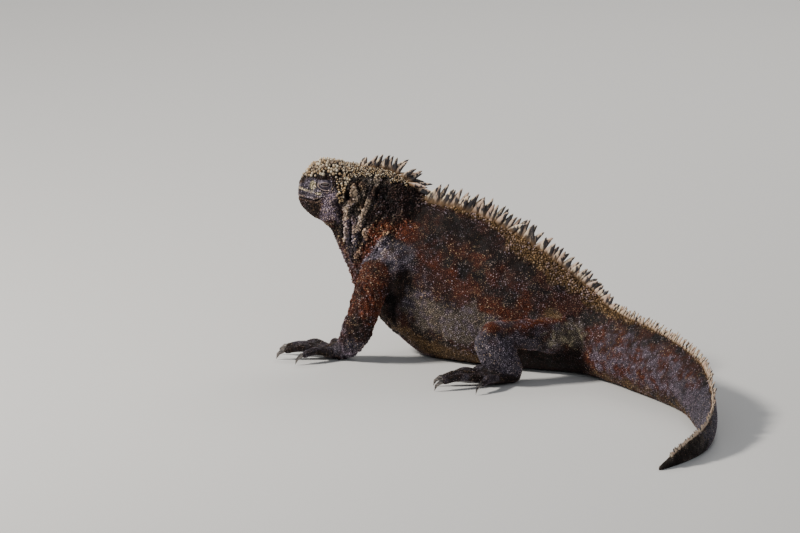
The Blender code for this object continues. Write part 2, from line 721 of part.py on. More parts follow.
def mouth_cutter():
    """A thin wedge that follows the mouth from one corner round the snout to the other."""
    path = mouth_path()
    front = (-0.3, 0.0, MOUTH_LINE[0][1])
    line = [(along, -left, level) for along, left, level in reversed(path)] + [front] + path
    sections = []
    for number, (along, left, level) in enumerate(line):
        before, after = line[max(number - 1, 0)], line[min(number + 1, len(line) - 1)]
        run = (after[0] - before[0], after[1] - before[1])
        out = Vector((-abs(run[1]), math.copysign(abs(run[0]), left) if left else 0, 0)).normalized()
        outwards = BACKWARD * out.x + HEAD_LEFT * out.y
        middle = head_place(along, left, level)
        share = MOUTH_CORNER if number in (0, len(line) - 1) else 1.0
        outer = middle + outwards * MOUTH_REACH
        spread = UP * (MOUTH_OPENING * share)
        sections.append([middle - outwards * (MOUTH_DEPTH * share), outer + spread, outer - spread])
    return loft("mouth", sections)


def make_head():
    """The head with its lids, nostrils, mouth and ears, and the two eyeballs in their pits."""
    head = body_length("head", 0.0, HEAD_END, HEAD_STEP, TRUNK_AROUND)
    lids = []
    cutters = [mouth_cutter()]
    eyes = []
    for side_name, side in (("left", 1), ("right", -1)):
        out = HEAD_LEFT * side
        places = (EYE_PLACE, NOSTRIL_PLACE, EAR_PLACE)
        eye, nostril, ear = [head_place(along, left * side, level) for along, left, level in places]
        lids.append(ball("lids", eye, LID_SIZE, out, 6, 10))
        cutters.append(ball("pit", eye, [EYE_RADIUS + GAP] * 3, out))
        cutters.append(ball("slit", eye, SLIT_SIZE, out, 4, 8))
        cutters.append(ball("nostril", nostril, NOSTRIL_SIZE, out, 4, 6))
        cutters.append(ball("ear", ear, EAR_SIZE, out, 4, 8))
        eyes.append(ball(f"{side_name}_eye", eye, [EYE_RADIUS] * 3, out))
    combine(head, lids + crown() + crest(NAPE_ROW, 0, HEAD_END, 3), "UNION", "MANIFOLD")
    combine(head, cutters, "DIFFERENCE", "MANIFOLD")
    keep_largest(head)
    return head, eyes


def paint(target, name, colour, roughness=0.75):
    material = bpy.data.materials.get(name) or bpy.data.materials.new(name)
    material.use_nodes = True
    shader = material.node_tree.nodes["Principled BSDF"]
    shader.inputs["Base Color"].default_value = colour
    shader.inputs["Roughness"].default_value = roughness
    shader.inputs["Metallic"].default_value = 0.0
    target.data.materials.clear()
    target.data.materials.append(material)


def clear_scene():
    for old in list(bpy.data.objects):
        bpy.data.objects.remove(old)


LENGTHS = [
    ("neck", HEAD_END, NECK_END, NECK_STEP, TRUNK_AROUND, NAPE_ROW, 3),
    ("torso", NECK_END, TORSO_END, TORSO_STEP, TRUNK_AROUND, DORSAL_ROW, 5),
    ("tail_1", TORSO_END, TAIL_ENDS[0], TAIL_STEP, TAIL_AROUND, TAIL_ROW, 7),
    ("tail_2", TAIL_ENDS[0], TAIL_ENDS[1], TAIL_STEP, TAIL_AROUND, TAIL_ROW, 7),
    ("tail_3", TAIL_ENDS[1], TAIL_ENDS[2], TAIL_STEP, TAIL_AROUND, TAIL_ROW, 7),
    ("tail_4", TAIL_ENDS[2], TAIL_ENDS[3], TAIL_STEP, TAIL_AROUND, TAIL_ROW, 7),
]
FORE_SEGMENTS = ("upper_arm", "forearm", "hand")
HIND_SEGMENTS = ("thigh", "shank", "foot")


def main():
    clear_scene()
    head, eyes = make_head()
    paint(head, "skin", SKIN_COLOUR)
    for eye in eyes:
        paint(eye, "eye", EYE_COLOUR, 0.15)
    for name, start, end, step, count, row, seed in LENGTHS:
        piece = body_length(name, start, end, step, count)
        combine(piece, crest(row, start, end, seed), "UNION", "MANIFOLD")
        if name != "neck":
            combine(piece, [floor_cutter()], "DIFFERENCE", "MANIFOLD")
        keep_largest(piece)
        paint(piece, "skin", SKIN_COLOUR)
    for side_name, limb, segments, palm, digits, claw_length in [
        ("left_fore", LEFT_FORE, FORE_SEGMENTS, FORE_PALM, FORE_DIGITS, FORE_CLAW),
        ("right_fore", RIGHT_FORE, FORE_SEGMENTS, FORE_PALM, FORE_DIGITS, FORE_CLAW),
        ("left_hind", LEFT_HIND, HIND_SEGMENTS, HIND_PALM, HIND_DIGITS, HIND_CLAW),
        ("right_hind", RIGHT_HIND, HIND_SEGMENTS, HIND_PALM, HIND_DIGITS, HIND_CLAW),
    ]:
        for piece in make_limb(side_name, limb, segments, palm, digits, claw_length):
            if "claw" in piece.name:
                paint(piece, "claw", CLAW_COLOUR, 0.35)
            else:
                paint(piece, "skin", SKIN_COLOUR)


main()
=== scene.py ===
# %% [markdown]
# # A marine iguana, still and at life size
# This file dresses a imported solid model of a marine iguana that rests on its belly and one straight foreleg.
# The solids give the size and the pose. Here they get one seamless skin, a coat of raised scales, the crown
# of conical tubercles, the crest, eyes behind heavy lids, and claws.
# The work starts from the frame, so that every piece lies exactly where the solids say.

# %% Load the frame
import json
import math
import random

import bmesh
import bpy
import numpy as np
from mathutils import Matrix, Vector

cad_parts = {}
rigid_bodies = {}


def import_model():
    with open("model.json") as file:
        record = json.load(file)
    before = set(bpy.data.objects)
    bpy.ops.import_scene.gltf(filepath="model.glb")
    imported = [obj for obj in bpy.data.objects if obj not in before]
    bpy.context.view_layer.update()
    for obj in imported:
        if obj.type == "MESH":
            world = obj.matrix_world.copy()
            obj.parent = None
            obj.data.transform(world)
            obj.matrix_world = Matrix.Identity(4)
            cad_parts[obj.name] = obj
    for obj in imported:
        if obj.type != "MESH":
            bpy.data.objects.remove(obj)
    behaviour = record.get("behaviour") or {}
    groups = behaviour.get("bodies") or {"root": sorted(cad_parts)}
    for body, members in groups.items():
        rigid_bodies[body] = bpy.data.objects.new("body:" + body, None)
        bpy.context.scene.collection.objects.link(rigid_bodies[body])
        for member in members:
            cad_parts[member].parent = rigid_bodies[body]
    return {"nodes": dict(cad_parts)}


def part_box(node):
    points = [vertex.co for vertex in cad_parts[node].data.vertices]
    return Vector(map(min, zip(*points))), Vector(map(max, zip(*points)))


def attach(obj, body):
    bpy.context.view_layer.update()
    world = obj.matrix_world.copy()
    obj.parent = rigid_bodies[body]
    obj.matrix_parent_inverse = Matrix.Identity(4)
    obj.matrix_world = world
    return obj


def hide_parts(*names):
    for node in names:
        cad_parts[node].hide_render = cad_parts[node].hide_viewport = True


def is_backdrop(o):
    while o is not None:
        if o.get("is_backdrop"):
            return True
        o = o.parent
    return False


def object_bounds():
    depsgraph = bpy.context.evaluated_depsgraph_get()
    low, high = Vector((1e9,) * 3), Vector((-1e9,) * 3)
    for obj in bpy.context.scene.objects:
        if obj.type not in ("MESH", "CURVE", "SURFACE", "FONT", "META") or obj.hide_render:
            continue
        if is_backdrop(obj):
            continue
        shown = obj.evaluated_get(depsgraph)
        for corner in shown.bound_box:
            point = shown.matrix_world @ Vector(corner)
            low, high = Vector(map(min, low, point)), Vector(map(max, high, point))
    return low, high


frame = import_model()
cad_low, cad_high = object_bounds()
print("frame:", len(frame["nodes"]), "nodes, size", [round(x, 3) for x in cad_high - cad_low])

# %% [markdown]
# ## The measures of the animal
# A lizard's trunk is one long tube. It could be sculpted, but a table of cross sections is easier to correct:
# each row gives the back, the belly and the width of one slice, and a smooth curve runs through the rows.
# The head is measured in millimetres from the front of the mouth, in a frame of its own, as it is turned.

# %% Rings of the head, trunk and tail
MM = 0.001
UP = Vector((0, 0, 1))
HEAD_YAW = math.radians(20)
SNOUT = Vector((-0.2985, -0.0385, 0.2075))
BACKWARD = Vector((math.cos(HEAD_YAW), math.sin(HEAD_YAW), 0))
HEAD_LEFT = BACKWARD.cross(UP)

# Head: top (along, level), bottom (along, level), half width, in millimetres.
HEAD_RINGS = [
    ((0.0, 11.0), (0.0, 3.5), 4.0),
    ((0.6, 16.5), (0.6, -1.5), 10.0),
    ((2.5, 21.5), (2.0, -6.0), 14.0),
    ((5.5, 26.0), (4.5, -11.0), 17.0),
    ((10.0, 31.5), (8.0, -15.5), 19.5),
    ((17.0, 39.0), (13.0, -20.5), 22.5),
    ((26.0, 45.5), (19.0, -25.0), 26.0),
    ((37.0, 48.5), (25.0, -28.5), 29.5),
    ((50.0, 47.5), (31.0, -31.0), 32.5),
    ((63.0, 45.5), (36.0, -34.0), 34.0),
    ((76.0, 44.5), (41.0, -39.0), 34.5),
]
# Neck and torso: back (x, z), belly (x, z), y of the middle, half width, in metres.
TRUNK_RINGS = [
    ((-0.2050, 0.2530), (-0.2560, 0.1580), -0.0137, 0.0350),
    ((-0.1820, 0.2510), (-0.2490, 0.1420), -0.0107, 0.0370),
    ((-0.1600, 0.2430), (-0.2405, 0.1230), -0.0084, 0.0400),
    ((-0.1400, 0.2290), (-0.2320, 0.1050), -0.0065, 0.0430),
    ((-0.1220, 0.2130), (-0.2210, 0.0840), -0.0048, 0.0470),
    ((-0.1000, 0.2090), (-0.2000, 0.0590), -0.0030, 0.0505),
    ((-0.0700, 0.2050), (-0.1660, 0.0280), -0.0012, 0.0540),
    ((-0.0340, 0.1950), (-0.1220, 0.0000), 0.0000, 0.0570),
    ((0.0047, 0.1790), (-0.0750, -0.0060), 0.0000, 0.0595),
    ((0.0420, 0.1615), (-0.0280, -0.0060), 0.0000, 0.0600),
    ((0.0790, 0.1390), (0.0220, -0.0050), 0.0000, 0.0575),
    ((0.1090, 0.1200), (0.0620, -0.0040), 0.0000, 0.0520),
    ((0.1310, 0.1050), (0.0980, -0.0030), -0.0030, 0.0460),
    ((0.1520, 0.0950), (0.1330, -0.0020), -0.0130, 0.0410),
]
# Tail: middle of the underside (x, y), height, how far the back leans out, half width, in metres.
TAIL_RINGS = [
    ((0.1780, -0.0350), 0.0900, 0.0050, 0.0360),
    ((0.2220, -0.0700), 0.0860, 0.0140, 0.0290),
    ((0.2830, -0.1140), 0.0770, 0.0190, 0.0235),
    ((0.3290, -0.1530), 0.0670, 0.0200, 0.0195),
    ((0.3740, -0.2130), 0.0540, 0.0160, 0.0150),
    ((0.4130, -0.2790), 0.0430, 0.0090, 0.0108),
    ((0.4330, -0.3450), 0.0340, 0.0040, 0.0080),
    ((0.4310, -0.4050), 0.0230, 0.0020, 0.0055),
    ((0.4225, -0.4505), 0.0060, 0.0000, 0.0024),
]
TAIL_SINK = 0.0015
# Section of each length: level of the widest part, fullness above it and below it.
HEAD_SECTION = (0.42, 2.4, 2.5)
NECK_SECTION = (0.45, 2.0, 2.2)
TORSO_SECTION = (0.38, 1.65, 2.5)
TAIL_SECTION = (0.36, 1.45, 2.4)
TAIL_END = 32.99  # the last place on the rings that is skinned


def head_place(along, left, level):
    """A place in the head's frame, in millimetres, as a point in metres."""
    return SNOUT + (BACKWARD * along + HEAD_LEFT * left + UP * level) * MM


def body_rings():
    rows = []
    for top, bottom, half_width in HEAD_RINGS:
        back, belly = head_place(top[0], 0, top[1]), head_place(bottom[0], 0, bottom[1])
        rows.append([*back, *belly, half_width * MM, *HEAD_SECTION])
    for number, (back, belly, middle, half_width) in enumerate(TRUNK_RINGS):
        section = NECK_SECTION if number < 4 else TORSO_SECTION
        rows.append([back[0], middle, back[1], belly[0], middle, belly[1], half_width, *section])
    last = len(TAIL_RINGS) - 1
    for number, (foot, height, lean, half_width) in enumerate(TAIL_RINGS):
        before, after = TAIL_RINGS[max(number - 1, 0)][0], TAIL_RINGS[min(number + 1, last)][0]
        travel = Vector((after[0] - before[0], after[1] - before[1], 0)).normalized()
        back = Vector((foot[0], foot[1], height)) - travel.cross(UP) * lean
        rows.append([*back, *foot, -TAIL_SINK, half_width, *TAIL_SECTION])
    return np.array(rows)


RINGS = body_rings()
print("rings:", len(RINGS), "from snout to tail tip")

# %% [markdown]
# ## A smooth curve through the rows
# Straight lines between the slices would show as facets. A Hermite curve passes through every row and turns
# evenly between them. The same function serves the limbs, whose rows are a point, a half width and a half
# thickness.

# %% Curves and rings
def smooth(rows, at):
    """Every column of rows as a smooth curve, read at a place that is counted in rows."""
    last = len(rows) - 1
    at = min(max(at, 0.0), last)
    low = min(int(at), last - 1)
    near = max(low - 1, 0)
    some = rows[near : low + 3]
    spans = np.linalg.norm(np.diff(some[:, :3], axis=0), axis=1) + 1e-6
    slopes = np.diff(some, axis=0) / spans[:, None]
    here = low - near

    def slope_at(k):
        if k == 0 or k == len(some) - 1:
            return slopes[min(k, len(slopes) - 1)]
        return (slopes[k - 1] * spans[k] + slopes[k] * spans[k - 1]) / (spans[k - 1] + spans[k])

    part, span = at - low, spans[here]
    square, cube = part * part, part**3
    return (
        rows[low] * (2 * cube - 3 * square + 1)
        + slope_at(here) * span * (cube - 2 * square + part)
        + rows[low + 1] * (3 * square - 2 * cube)
        + slope_at(here + 1) * span * (cube - square)
    )


def body_frame(at):
    """Ring values, the way from belly to back, the left side and the travel of the body."""
    row = smooth(RINGS, at)
    after, before = smooth(RINGS, at + 0.1), smooth(RINGS, at - 0.1)
    travel = Vector((after - before)[:3] + (after - before)[3:6]).normalized()
    up = Vector(row[:3]) - Vector(row[3:6])
    left = travel.cross(up).normalized()
    return row, up, left, up.cross(left).normalized()


def body_ring(at, count):
    """The points of one slice, from the back round the left side."""
    row, up, left, ahead = body_frame(at)
    height, upright = up.length, up.normalized()
    widest, top_full, belly_full = row[7:10]
    angle = 2 * np.pi * np.arange(count) / count
    rise, out = np.cos(angle), np.sin(angle)
    full = np.where(rise > 0, top_full, belly_full)
    reach = height * np.where(rise > 0, 1 - widest, widest)
    lift = np.sign(rise) * np.abs(rise) ** (2 / full) * reach
    side = np.sign(out) * np.abs(out) ** (2 / full) * row[6]
    heart = np.array(row[3:6]) + np.array(up) * widest
    return heart + np.outer(lift, upright) + np.outer(side, left)


def body_places(start, end, step):
    """Places between two ends of the body, a near-even step apart."""
    fine = np.linspace(start, end, 400)
    rows = np.array([smooth(RINGS, at) for at in fine])
    middles = (rows[:, :3] + rows[:, 3:6]) / 2
    travelled = np.concatenate([[0], np.cumsum(np.linalg.norm(np.diff(middles, axis=0), axis=1))])
    count = max(2, round(travelled[-1] / step) + 1)
    return list(np.interp(np.linspace(0, travelled[-1], count), travelled, fine))


low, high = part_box("torso")
print("torso box", [round(x, 3) for x in low], [round(x, 3) for x in high])

# %% [markdown]
# ## Limbs, hands and feet
# Each limb is an upper and a lower tube that meet in a bent joint, and a palm with five toes.
# The toes are the same tube, arched over the knuckle, fanned out by a turn from the line of the hand.

# %% Rows of the limbs
# For each limb: places of the upper and of the lower tube, where the hand begins, and its turn in degrees.
LIMB_PLACES = {
    "left_fore": (
        [(-0.158, -0.026, 0.130), (-0.166, -0.052, 0.119), (-0.174, -0.074, 0.096), (-0.181, -0.087, 0.064)],
        [(-0.181, -0.087, 0.064), (-0.191, -0.085, 0.041), (-0.204, -0.081, 0.017)],
        (-0.206, -0.081),
        17,
    ),
    "right_fore": (
        [(-0.158, 0.026, 0.128), (-0.152, 0.054, 0.115), (-0.134, 0.082, 0.092), (-0.112, 0.098, 0.066)],
        [(-0.112, 0.098, 0.066), (-0.110, 0.094, 0.041), (-0.113, 0.086, 0.017)],
        (-0.115, 0.086),
        30,
    ),
    "left_hind": (
        [(0.096, -0.022, 0.054), (0.082, -0.056, 0.059), (0.055, -0.092, 0.064), (0.024, -0.121, 0.066)],
        [(0.023, -0.122, 0.060), (0.034, -0.118, 0.042), (0.050, -0.106, 0.0170)],
        (0.052, -0.107),
        40,
    ),
    "right_hind": (
        [(0.096, 0.020, 0.054), (0.086, 0.054, 0.059), (0.064, 0.088, 0.064), (0.036, 0.116, 0.066)],
        [(0.035, 0.117, 0.060), (0.048, 0.114, 0.042), (0.066, 0.104, 0.0170)],
        (0.068, 0.105),
        36,
    ),
}
# Half width and half thickness at those places, alike on both sides.
FORE_SIZES = (
    [(0.030, 0.034), (0.026, 0.030), (0.020, 0.0225), (0.019, 0.0205)],
    [(0.0178, 0.0190), (0.0190, 0.0205), (0.0165, 0.0150)],
)
HIND_SIZES = (
    [(0.030, 0.029), (0.0245, 0.0235), (0.0205, 0.0190), (0.0185, 0.0180)],
    [(0.0195, 0.0210), (0.0210, 0.0250), (0.0150, 0.0155)],
)
# Palm and sole: length, then share of it, level, half width and half thickness.
FORE_PALM = (0.027, [(0, 0.0140, 0.0145, 0.0130), (0.5, 0.0115, 0.0155, 0.0115), (1, 0.0100, 0.0165, 0.0092)])
HIND_PALM = (0.040, [(0, 0.0145, 0.0140, 0.0140), (0.5, 0.0115, 0.0150, 0.0118), (1, 0.0100, 0.0160, 0.0094)])
# Digits from the inner one: turn outwards in degrees, length, and how far back it starts.
FORE_DIGITS = [(-62, 0.024, 0.012), (-31, 0.040, 0.004), (-9, 0.053, 0), (10, 0.053, 0), (37, 0.040, 0.006)]
HIND_DIGITS = [(-50, 0.026, 0.012), (-27, 0.040, 0.004), (-9, 0.052, 0), (9, 0.058, 0), (40, 0.044, 0.020)]
DIGIT_SHAPE = [(0.0, 0.0095, 1.08), (0.36, 0.0135, 1.0), (0.72, 0.0160, 0.98), (1.0, 0.0125, 0.80)]
TOE_RADIUS = 0.0057
TOE_SINK = 0.0040
TOE_APART = 0.0045
PAIRS = {"fore": (FORE_SIZES, FORE_PALM, FORE_DIGITS), "hind": (HIND_SIZES, HIND_PALM, HIND_DIGITS)}


def limb_table():
    """Name, rows, palm, digits and side (1 left, -1 right) of each limb."""
    table = []
    for name, (upper, lower, wrist, turn) in LIMB_PLACES.items():
        side, pair = name.split("_")
        (upper_sizes, lower_sizes), palm, digits = PAIRS[pair]
        limb = {
            "upper": [(*place, *size) for place, size in zip(upper, upper_sizes)],
            "lower": [(*place, *size) for place, size in zip(lower, lower_sizes)],
            "wrist": Vector((*wrist, 0)),
            "turn": turn,
        }
        table.append((name, limb, palm, digits, 1 if side == "left" else -1))
    return table


LIMBS = limb_table()


def palm_rows(limb, palm, side):
    """The rows of a palm or sole, and the way that it points."""
    turn = math.radians(limb["turn"])
    forward = Vector((-math.cos(turn), -math.sin(turn) * side, 0))
    length, shape = palm
    places = [limb["wrist"] + forward * (length * row[0]) for row in shape]
    return [(p.x, p.y, *row[1:]) for p, row in zip(places, shape)], forward


def digit_rows(limb, palm, digit, number, side):
    """One digit: out of the palm, up over the knuckle and down towards the floor."""
    turn, length, set_back = digit
    rows, forward = palm_rows(limb, palm, side)
    heading = Matrix.Rotation(math.radians(turn) * side, 3, "Z") @ forward
    outwards = Vector((-forward.y, forward.x, 0)) * side
    palm_end = Vector((rows[-1][0], rows[-1][1], 0))
    root = palm_end - forward * (TOE_SINK + set_back) + outwards * ((number - 2) * TOE_APART)
    made = []
    for share, level, swell in DIGIT_SHAPE:
        place = root + heading * ((length + TOE_SINK * 1.5) * share)
        made.append((place.x, place.y, level, TOE_RADIUS * swell, TOE_RADIUS * swell))
    return made


def limb_tubes(name, limb, palm, digits, side):
    """Every tube of one limb: its rows, and the way that its thickness points."""
    reference = Vector((1, 0, 0)) if "fore" in name else UP
    tubes = [(limb["upper"], reference), (limb["lower"], reference), (palm_rows(limb, palm, side)[0], UP)]
    tubes += [(digit_rows(limb, palm, digit, number, side), UP) for number, digit in enumerate(digits)]
    return tubes


print("tubes in one limb:", len(limb_tubes(*LIMBS[0])))

# %% [markdown]
# ## Camera, floor and light
# The photograph looks at the left side from a little in front and above, from far off, so the lens is long.
# A strong light stands to the upper left, as the sun does there, with a wide weak one on the other side and
# one behind, over a plain pale floor.

# %% Camera, floor and lights
PHOTO_TURN, PHOTO_TILT = math.radians(25), math.radians(14)
METRES_PER_PIXEL = 1.353e-3
IMAGE_SIZE = (800, 533)
WRIST_PIXEL, WRIST_PLACE = (372.9, 345.5), Vector((-0.206, 0, 0))
CAMERA_DISTANCE, SENSOR = 30.0, 36.0
# Lights: name, place, size, power and colour.
LIGHTS = [
    ("key", (-2.1, -1.3, 2.3), 0.5, 138, (1.0, 0.96, 0.90)),
    ("fill", (1.6, -2.2, 1.2), 2.4, 13, (0.86, 0.92, 1.0)),
    ("rim", (-0.4, 2.2, 1.9), 1.2, 26, (1.0, 0.98, 0.95)),
]
LIT_PLACE = Vector((0.05, -0.05, 0.1))
SKY_COLOUR, SKY_STRENGTH = (0.80, 0.83, 0.88, 1), 0.33
FLOOR_HALF, FLOOR_COLOUR, FLOOR_ROUGHNESS = 6.0, (0.66, 0.65, 0.63, 1), 0.85


def new_object(name, data):
    made = bpy.data.objects.new(name, data)
    bpy.context.scene.collection.objects.link(made)
    return made


def put_aimed(name, data, place, direction):
    """A camera or a light at a place, that looks along a direction."""
    made = new_object(name, data)
    made.location = place
    made.rotation_mode = "QUATERNION"
    made.rotation_quaternion = direction.to_track_quat("-Z", "Y")
    return made


level_share = math.cos(PHOTO_TILT)
view_dir = (-math.sin(PHOTO_TURN) * level_share, math.cos(PHOTO_TURN) * level_share, -math.sin(PHOTO_TILT))
view_dir = Vector(view_dir)
view_right = view_dir.cross(UP).normalized()
view_up = view_right.cross(view_dir)
offset_right = (IMAGE_SIZE[0] / 2 - WRIST_PIXEL[0]) * METRES_PER_PIXEL
offset_up = (WRIST_PIXEL[1] - IMAGE_SIZE[1] / 2) * METRES_PER_PIXEL
target = WRIST_PLACE + view_right * offset_right + view_up * offset_up
lens = bpy.data.cameras.new("camera")
lens.sensor_width = SENSOR
lens.lens = SENSOR * CAMERA_DISTANCE / (IMAGE_SIZE[0] * METRES_PER_PIXEL)
bpy.context.scene.camera = put_aimed("camera", lens, target - view_dir * CAMERA_DISTANCE, view_dir)

for name, place, size, power, colour in LIGHTS:
    light = bpy.data.lights.new(name, "AREA")
    light.size, light.energy, light.color = size, power, colour
    put_aimed(name, light, place, LIT_PLACE - Vector(place))

world = bpy.data.worlds.new("studio")
world.use_nodes = True
world.node_tree.nodes["Background"].inputs["Color"].default_value = SKY_COLOUR
world.node_tree.nodes["Background"].inputs["Strength"].default_value = SKY_STRENGTH
bpy.context.scene.world = world

corners = [(x * FLOOR_HALF, y * FLOOR_HALF, 0) for x, y in ((-1, -1), (1, -1), (1, 1), (-1, 1))]
floor = new_object("floor", bpy.data.meshes.new("floor"))
floor.data.from_pydata(corners, [], [(0, 1, 2, 3)])
floor_look = bpy.data.materials.new("pale_floor")
floor_look.use_nodes = True
floor_look.node_tree.nodes["Principled BSDF"].inputs["Base Color"].default_value = FLOOR_COLOUR
floor_look.node_tree.nodes["Principled BSDF"].inputs["Roughness"].default_value = FLOOR_ROUGHNESS
floor.data.materials.append(floor_look)
floor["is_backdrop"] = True
print("camera lens", round(lens.lens, 1), "mm at", CAMERA_DISTANCE, "m")

# %% [markdown]
# ## One skin over the whole animal
# The real skin has no seams, so every tube goes into one mesh, and a voxel remesh melts them into a single
# closed surface. Boolean unions would keep hard creases where a leg leaves the body; the voxels give an even
# net that can then be relaxed.

# %% Tubes into one mesh
SKIN_VOXEL = 0.0015
BODY_AROUND, BODY_STEP = 72, 0.003
LIMB_AROUND, LIMB_BANDS = 28, 8
END_TURNS = [math.radians(turn) for turn in (80, 65, 50, 35, 18)]  # slices of a round end
END_LENGTH = 0.8  # of the half thickness there


def tube_rings(rows, reference):
    """Rings along a tube with round ends, from rows of (x, y, z, half width, half thickness)."""
    rows = np.array(rows, float)
    last = len(rows) - 1
    turns = 2 * np.pi * np.arange(LIMB_AROUND) / LIMB_AROUND

    def ring(at, shrink, push):
        row = smooth(rows, at)
        travel = Vector((smooth(rows, at + 0.05) - smooth(rows, at - 0.05))[:3]).normalized()
        side = (reference - travel * reference.dot(travel)).normalized()
        other = travel.cross(side)
        middle = np.array(Vector(row[:3]) + travel * push)
        wide = np.outer(np.cos(turns) * row[3] * shrink, other)
        return middle + wide + np.outer(np.sin(turns) * row[4] * shrink, side)

    rings = [ring(0, math.cos(turn), -rows[0][4] * math.sin(turn) * END_LENGTH) for turn in END_TURNS]
    rings += [ring(at, 1, 0) for at in np.linspace(0, last, last * LIMB_BANDS + 1)]
    for turn in reversed(END_TURNS):
        rings.append(ring(last, math.cos(turn), rows[-1][4] * math.sin(turn) * END_LENGTH))
    return rings


def stack(rings, tip=None):
    """Points and faces of a closed tube through rings, with a flat end or with a tip."""
    count, bands = len(rings[0]), len(rings) - 1
    here = np.arange(count)
    after = (here + 1) % count
    quads = [np.stack([here, after, after + count, here + count], 1) + band * count for band in range(bands)]
    faces = [face for quad in quads for face in quad.tolist()]
    foot, top = here[::-1].tolist(), here + bands * count
    if tip is None:
        return np.concatenate(rings), faces + [foot, top.tolist()]
    faces += [[a, b, count * len(rings)] for a, b in zip(top.tolist(), (after + bands * count).tolist())]
    return np.concatenate([*rings, [tip]]), faces + [foot]


def joined_mesh(name, shapes):
    """One mesh from several (points, faces) pairs, with its faces turned outwards."""
    points, faces, start = [], [], 0
    for shape_points, shape_faces in shapes:
        points.append(np.asarray(shape_points))
        faces += [[corner + start for corner in face] for face in shape_faces]
        start += len(shape_points)
    mesh = bpy.data.meshes.new(name)
    mesh.from_pydata(np.concatenate(points).tolist(), [], faces)
    work = bmesh.new()
    work.from_mesh(mesh)
    bmesh.ops.recalc_face_normals(work, faces=work.faces)
    work.to_mesh(mesh)
    work.free()
    return mesh


def finished_mesh(source):
    """The mesh of an object with its modifiers worked in."""
    bpy.context.view_layer.update()
    graph = bpy.context.evaluated_depsgraph_get()
    return bpy.data.meshes.new_from_object(source.evaluated_get(graph))


shapes = [stack([body_ring(at, BODY_AROUND) for at in body_places(0, TAIL_END, BODY_STEP)])]
for name, limb, palm, digits, side in LIMBS:
    for rows, reference in limb_tubes(name, limb, palm, digits, side):
        shapes.append(stack(tube_rings(rows, reference)))
skin = new_object("skin", joined_mesh("skin", shapes))
remesh = skin.modifiers.new("voxels", "REMESH")
remesh.mode = "VOXEL"
remesh.voxel_size = SKIN_VOXEL
net = finished_mesh(skin)
skin.modifiers.clear()
skin.data = net
print("skin net:", len(net.vertices), "points")

# %% [markdown]
# ## Soft creases at the joints
# Muscle and skin fill the corner where a limb leaves the trunk. Moving a point towards the mean of its
# neighbours smooths everything; doing it only where the surface is hollow, and only near a joint, fills the
# corner and leaves the rest as it is.

# %% Relax the hollows near the joints
def read(items, name, width, kind):
    """One property of all points, edges or corners of a mesh, as an array."""
    flat = np.empty(len(items) * width, kind)
    items.foreach_get(name, flat)
    return flat.reshape(-1, width) if width > 1 else flat


def store(mesh, name, values, kind="FLOAT", domain="POINT"):
    """An attribute of a mesh with a value for each point or corner."""
    layer = mesh.attributes.new(name, kind, domain)
    key = "value" if kind == "FLOAT" else "vector"
    layer.data.foreach_set(key, np.ascontiguousarray(values, dtype=np.float32).ravel())


def coordinates(mesh):
    return read(mesh.vertices, "co", 3, float)


def set_coordinates(mesh, points):
    mesh.vertices.foreach_set("co", points.ravel())
    mesh.update()


def normals_of(mesh):
    return read(mesh.vertex_normals, "vector", 3, np.float32).astype(float)


def edge_pairs(mesh):
    return read(mesh.edges, "vertices", 2, np.int32)


def neighbour_mean(values, pairs, counts):
    """Mean over each point's neighbours, for points or for single numbers."""
    a, b = pairs[:, 0], pairs[:, 1]
    columns = values if values.ndim == 2 else values[:, None]
    sums = np.empty_like(columns, dtype=float)
    for k in range(columns.shape[1]):
        column = columns[:, k]
        sums[:, k] = np.bincount(a, column[b], len(columns)) + np.bincount(b, column[a], len(columns))
    made = sums / counts[:, None]
    return made if values.ndim == 2 else made[:, 0]


def neighbour_counts(pairs, size):
    return np.maximum(np.bincount(pairs.ravel(), minlength=size), 1)


def soft_step(values):
    values = np.clip(values, 0, 1)
    return values * values * (3 - 2 * values)


# Joints of a limb: tube, row, and how far the relaxing reaches, in metres.
JOINTS = [("upper", 1, 0.046), ("upper", 3, 0.026), ("lower", 2, 0.022)]
RELAX_ROUNDS, RELAX_BLOCK, EVEN_ROUNDS = 150, 25, 6
HOLLOW_STEP, PROUD_STEP = 0.9, 0.12


def joint_weight(points):
    """1 close to a joint of a limb, 0 away from it."""
    weight = np.zeros(len(points))
    for name, limb, palm, digits, side in LIMBS:
        for tube, row, reach in JOINTS:
            away = np.linalg.norm(points - np.array(limb[tube][row][:3]), axis=1)
            weight = np.maximum(weight, soft_step(1.6 * (1 - away / reach)))
    return weight


points = coordinates(net)
pairs = edge_pairs(net)
counts = neighbour_counts(pairs, len(points))
near_joint = joint_weight(points)
zone = np.nonzero(near_joint > 0)[0]
place_in_zone = np.full(len(points), -1)
place_in_zone[zone] = np.arange(len(zone))
zone_pairs = place_in_zone[pairs]
zone_pairs = zone_pairs[(zone_pairs >= 0).all(axis=1)]
zone_counts = neighbour_counts(zone_pairs, len(zone))
for start in range(0, RELAX_ROUNDS, RELAX_BLOCK):
    normals = normals_of(net)[zone]
    moved, weight = points[zone], near_joint[zone]
    for turn in range(RELAX_BLOCK):
        step = neighbour_mean(moved, zone_pairs, zone_counts) - moved
        hollow = np.einsum("ij,ij->i", step, normals) > 0
        moved += step * (weight * np.where(hollow, HOLLOW_STEP, PROUD_STEP))[:, None]
    points[zone] = moved
    set_coordinates(net, points)
for turn in range(EVEN_ROUNDS):
    points += (neighbour_mean(points, pairs, counts) - points) * 0.5
set_coordinates(net, points)
print("relaxed points:", int((near_joint > 0.1).sum()))

# %% [markdown]
# ## A finer net on the face
# Lids and lips have folds about a millimetre wide, finer than the voxels. A smaller voxel everywhere would
# cost too many faces, so only the face is divided again, and the ring round each eye twice.

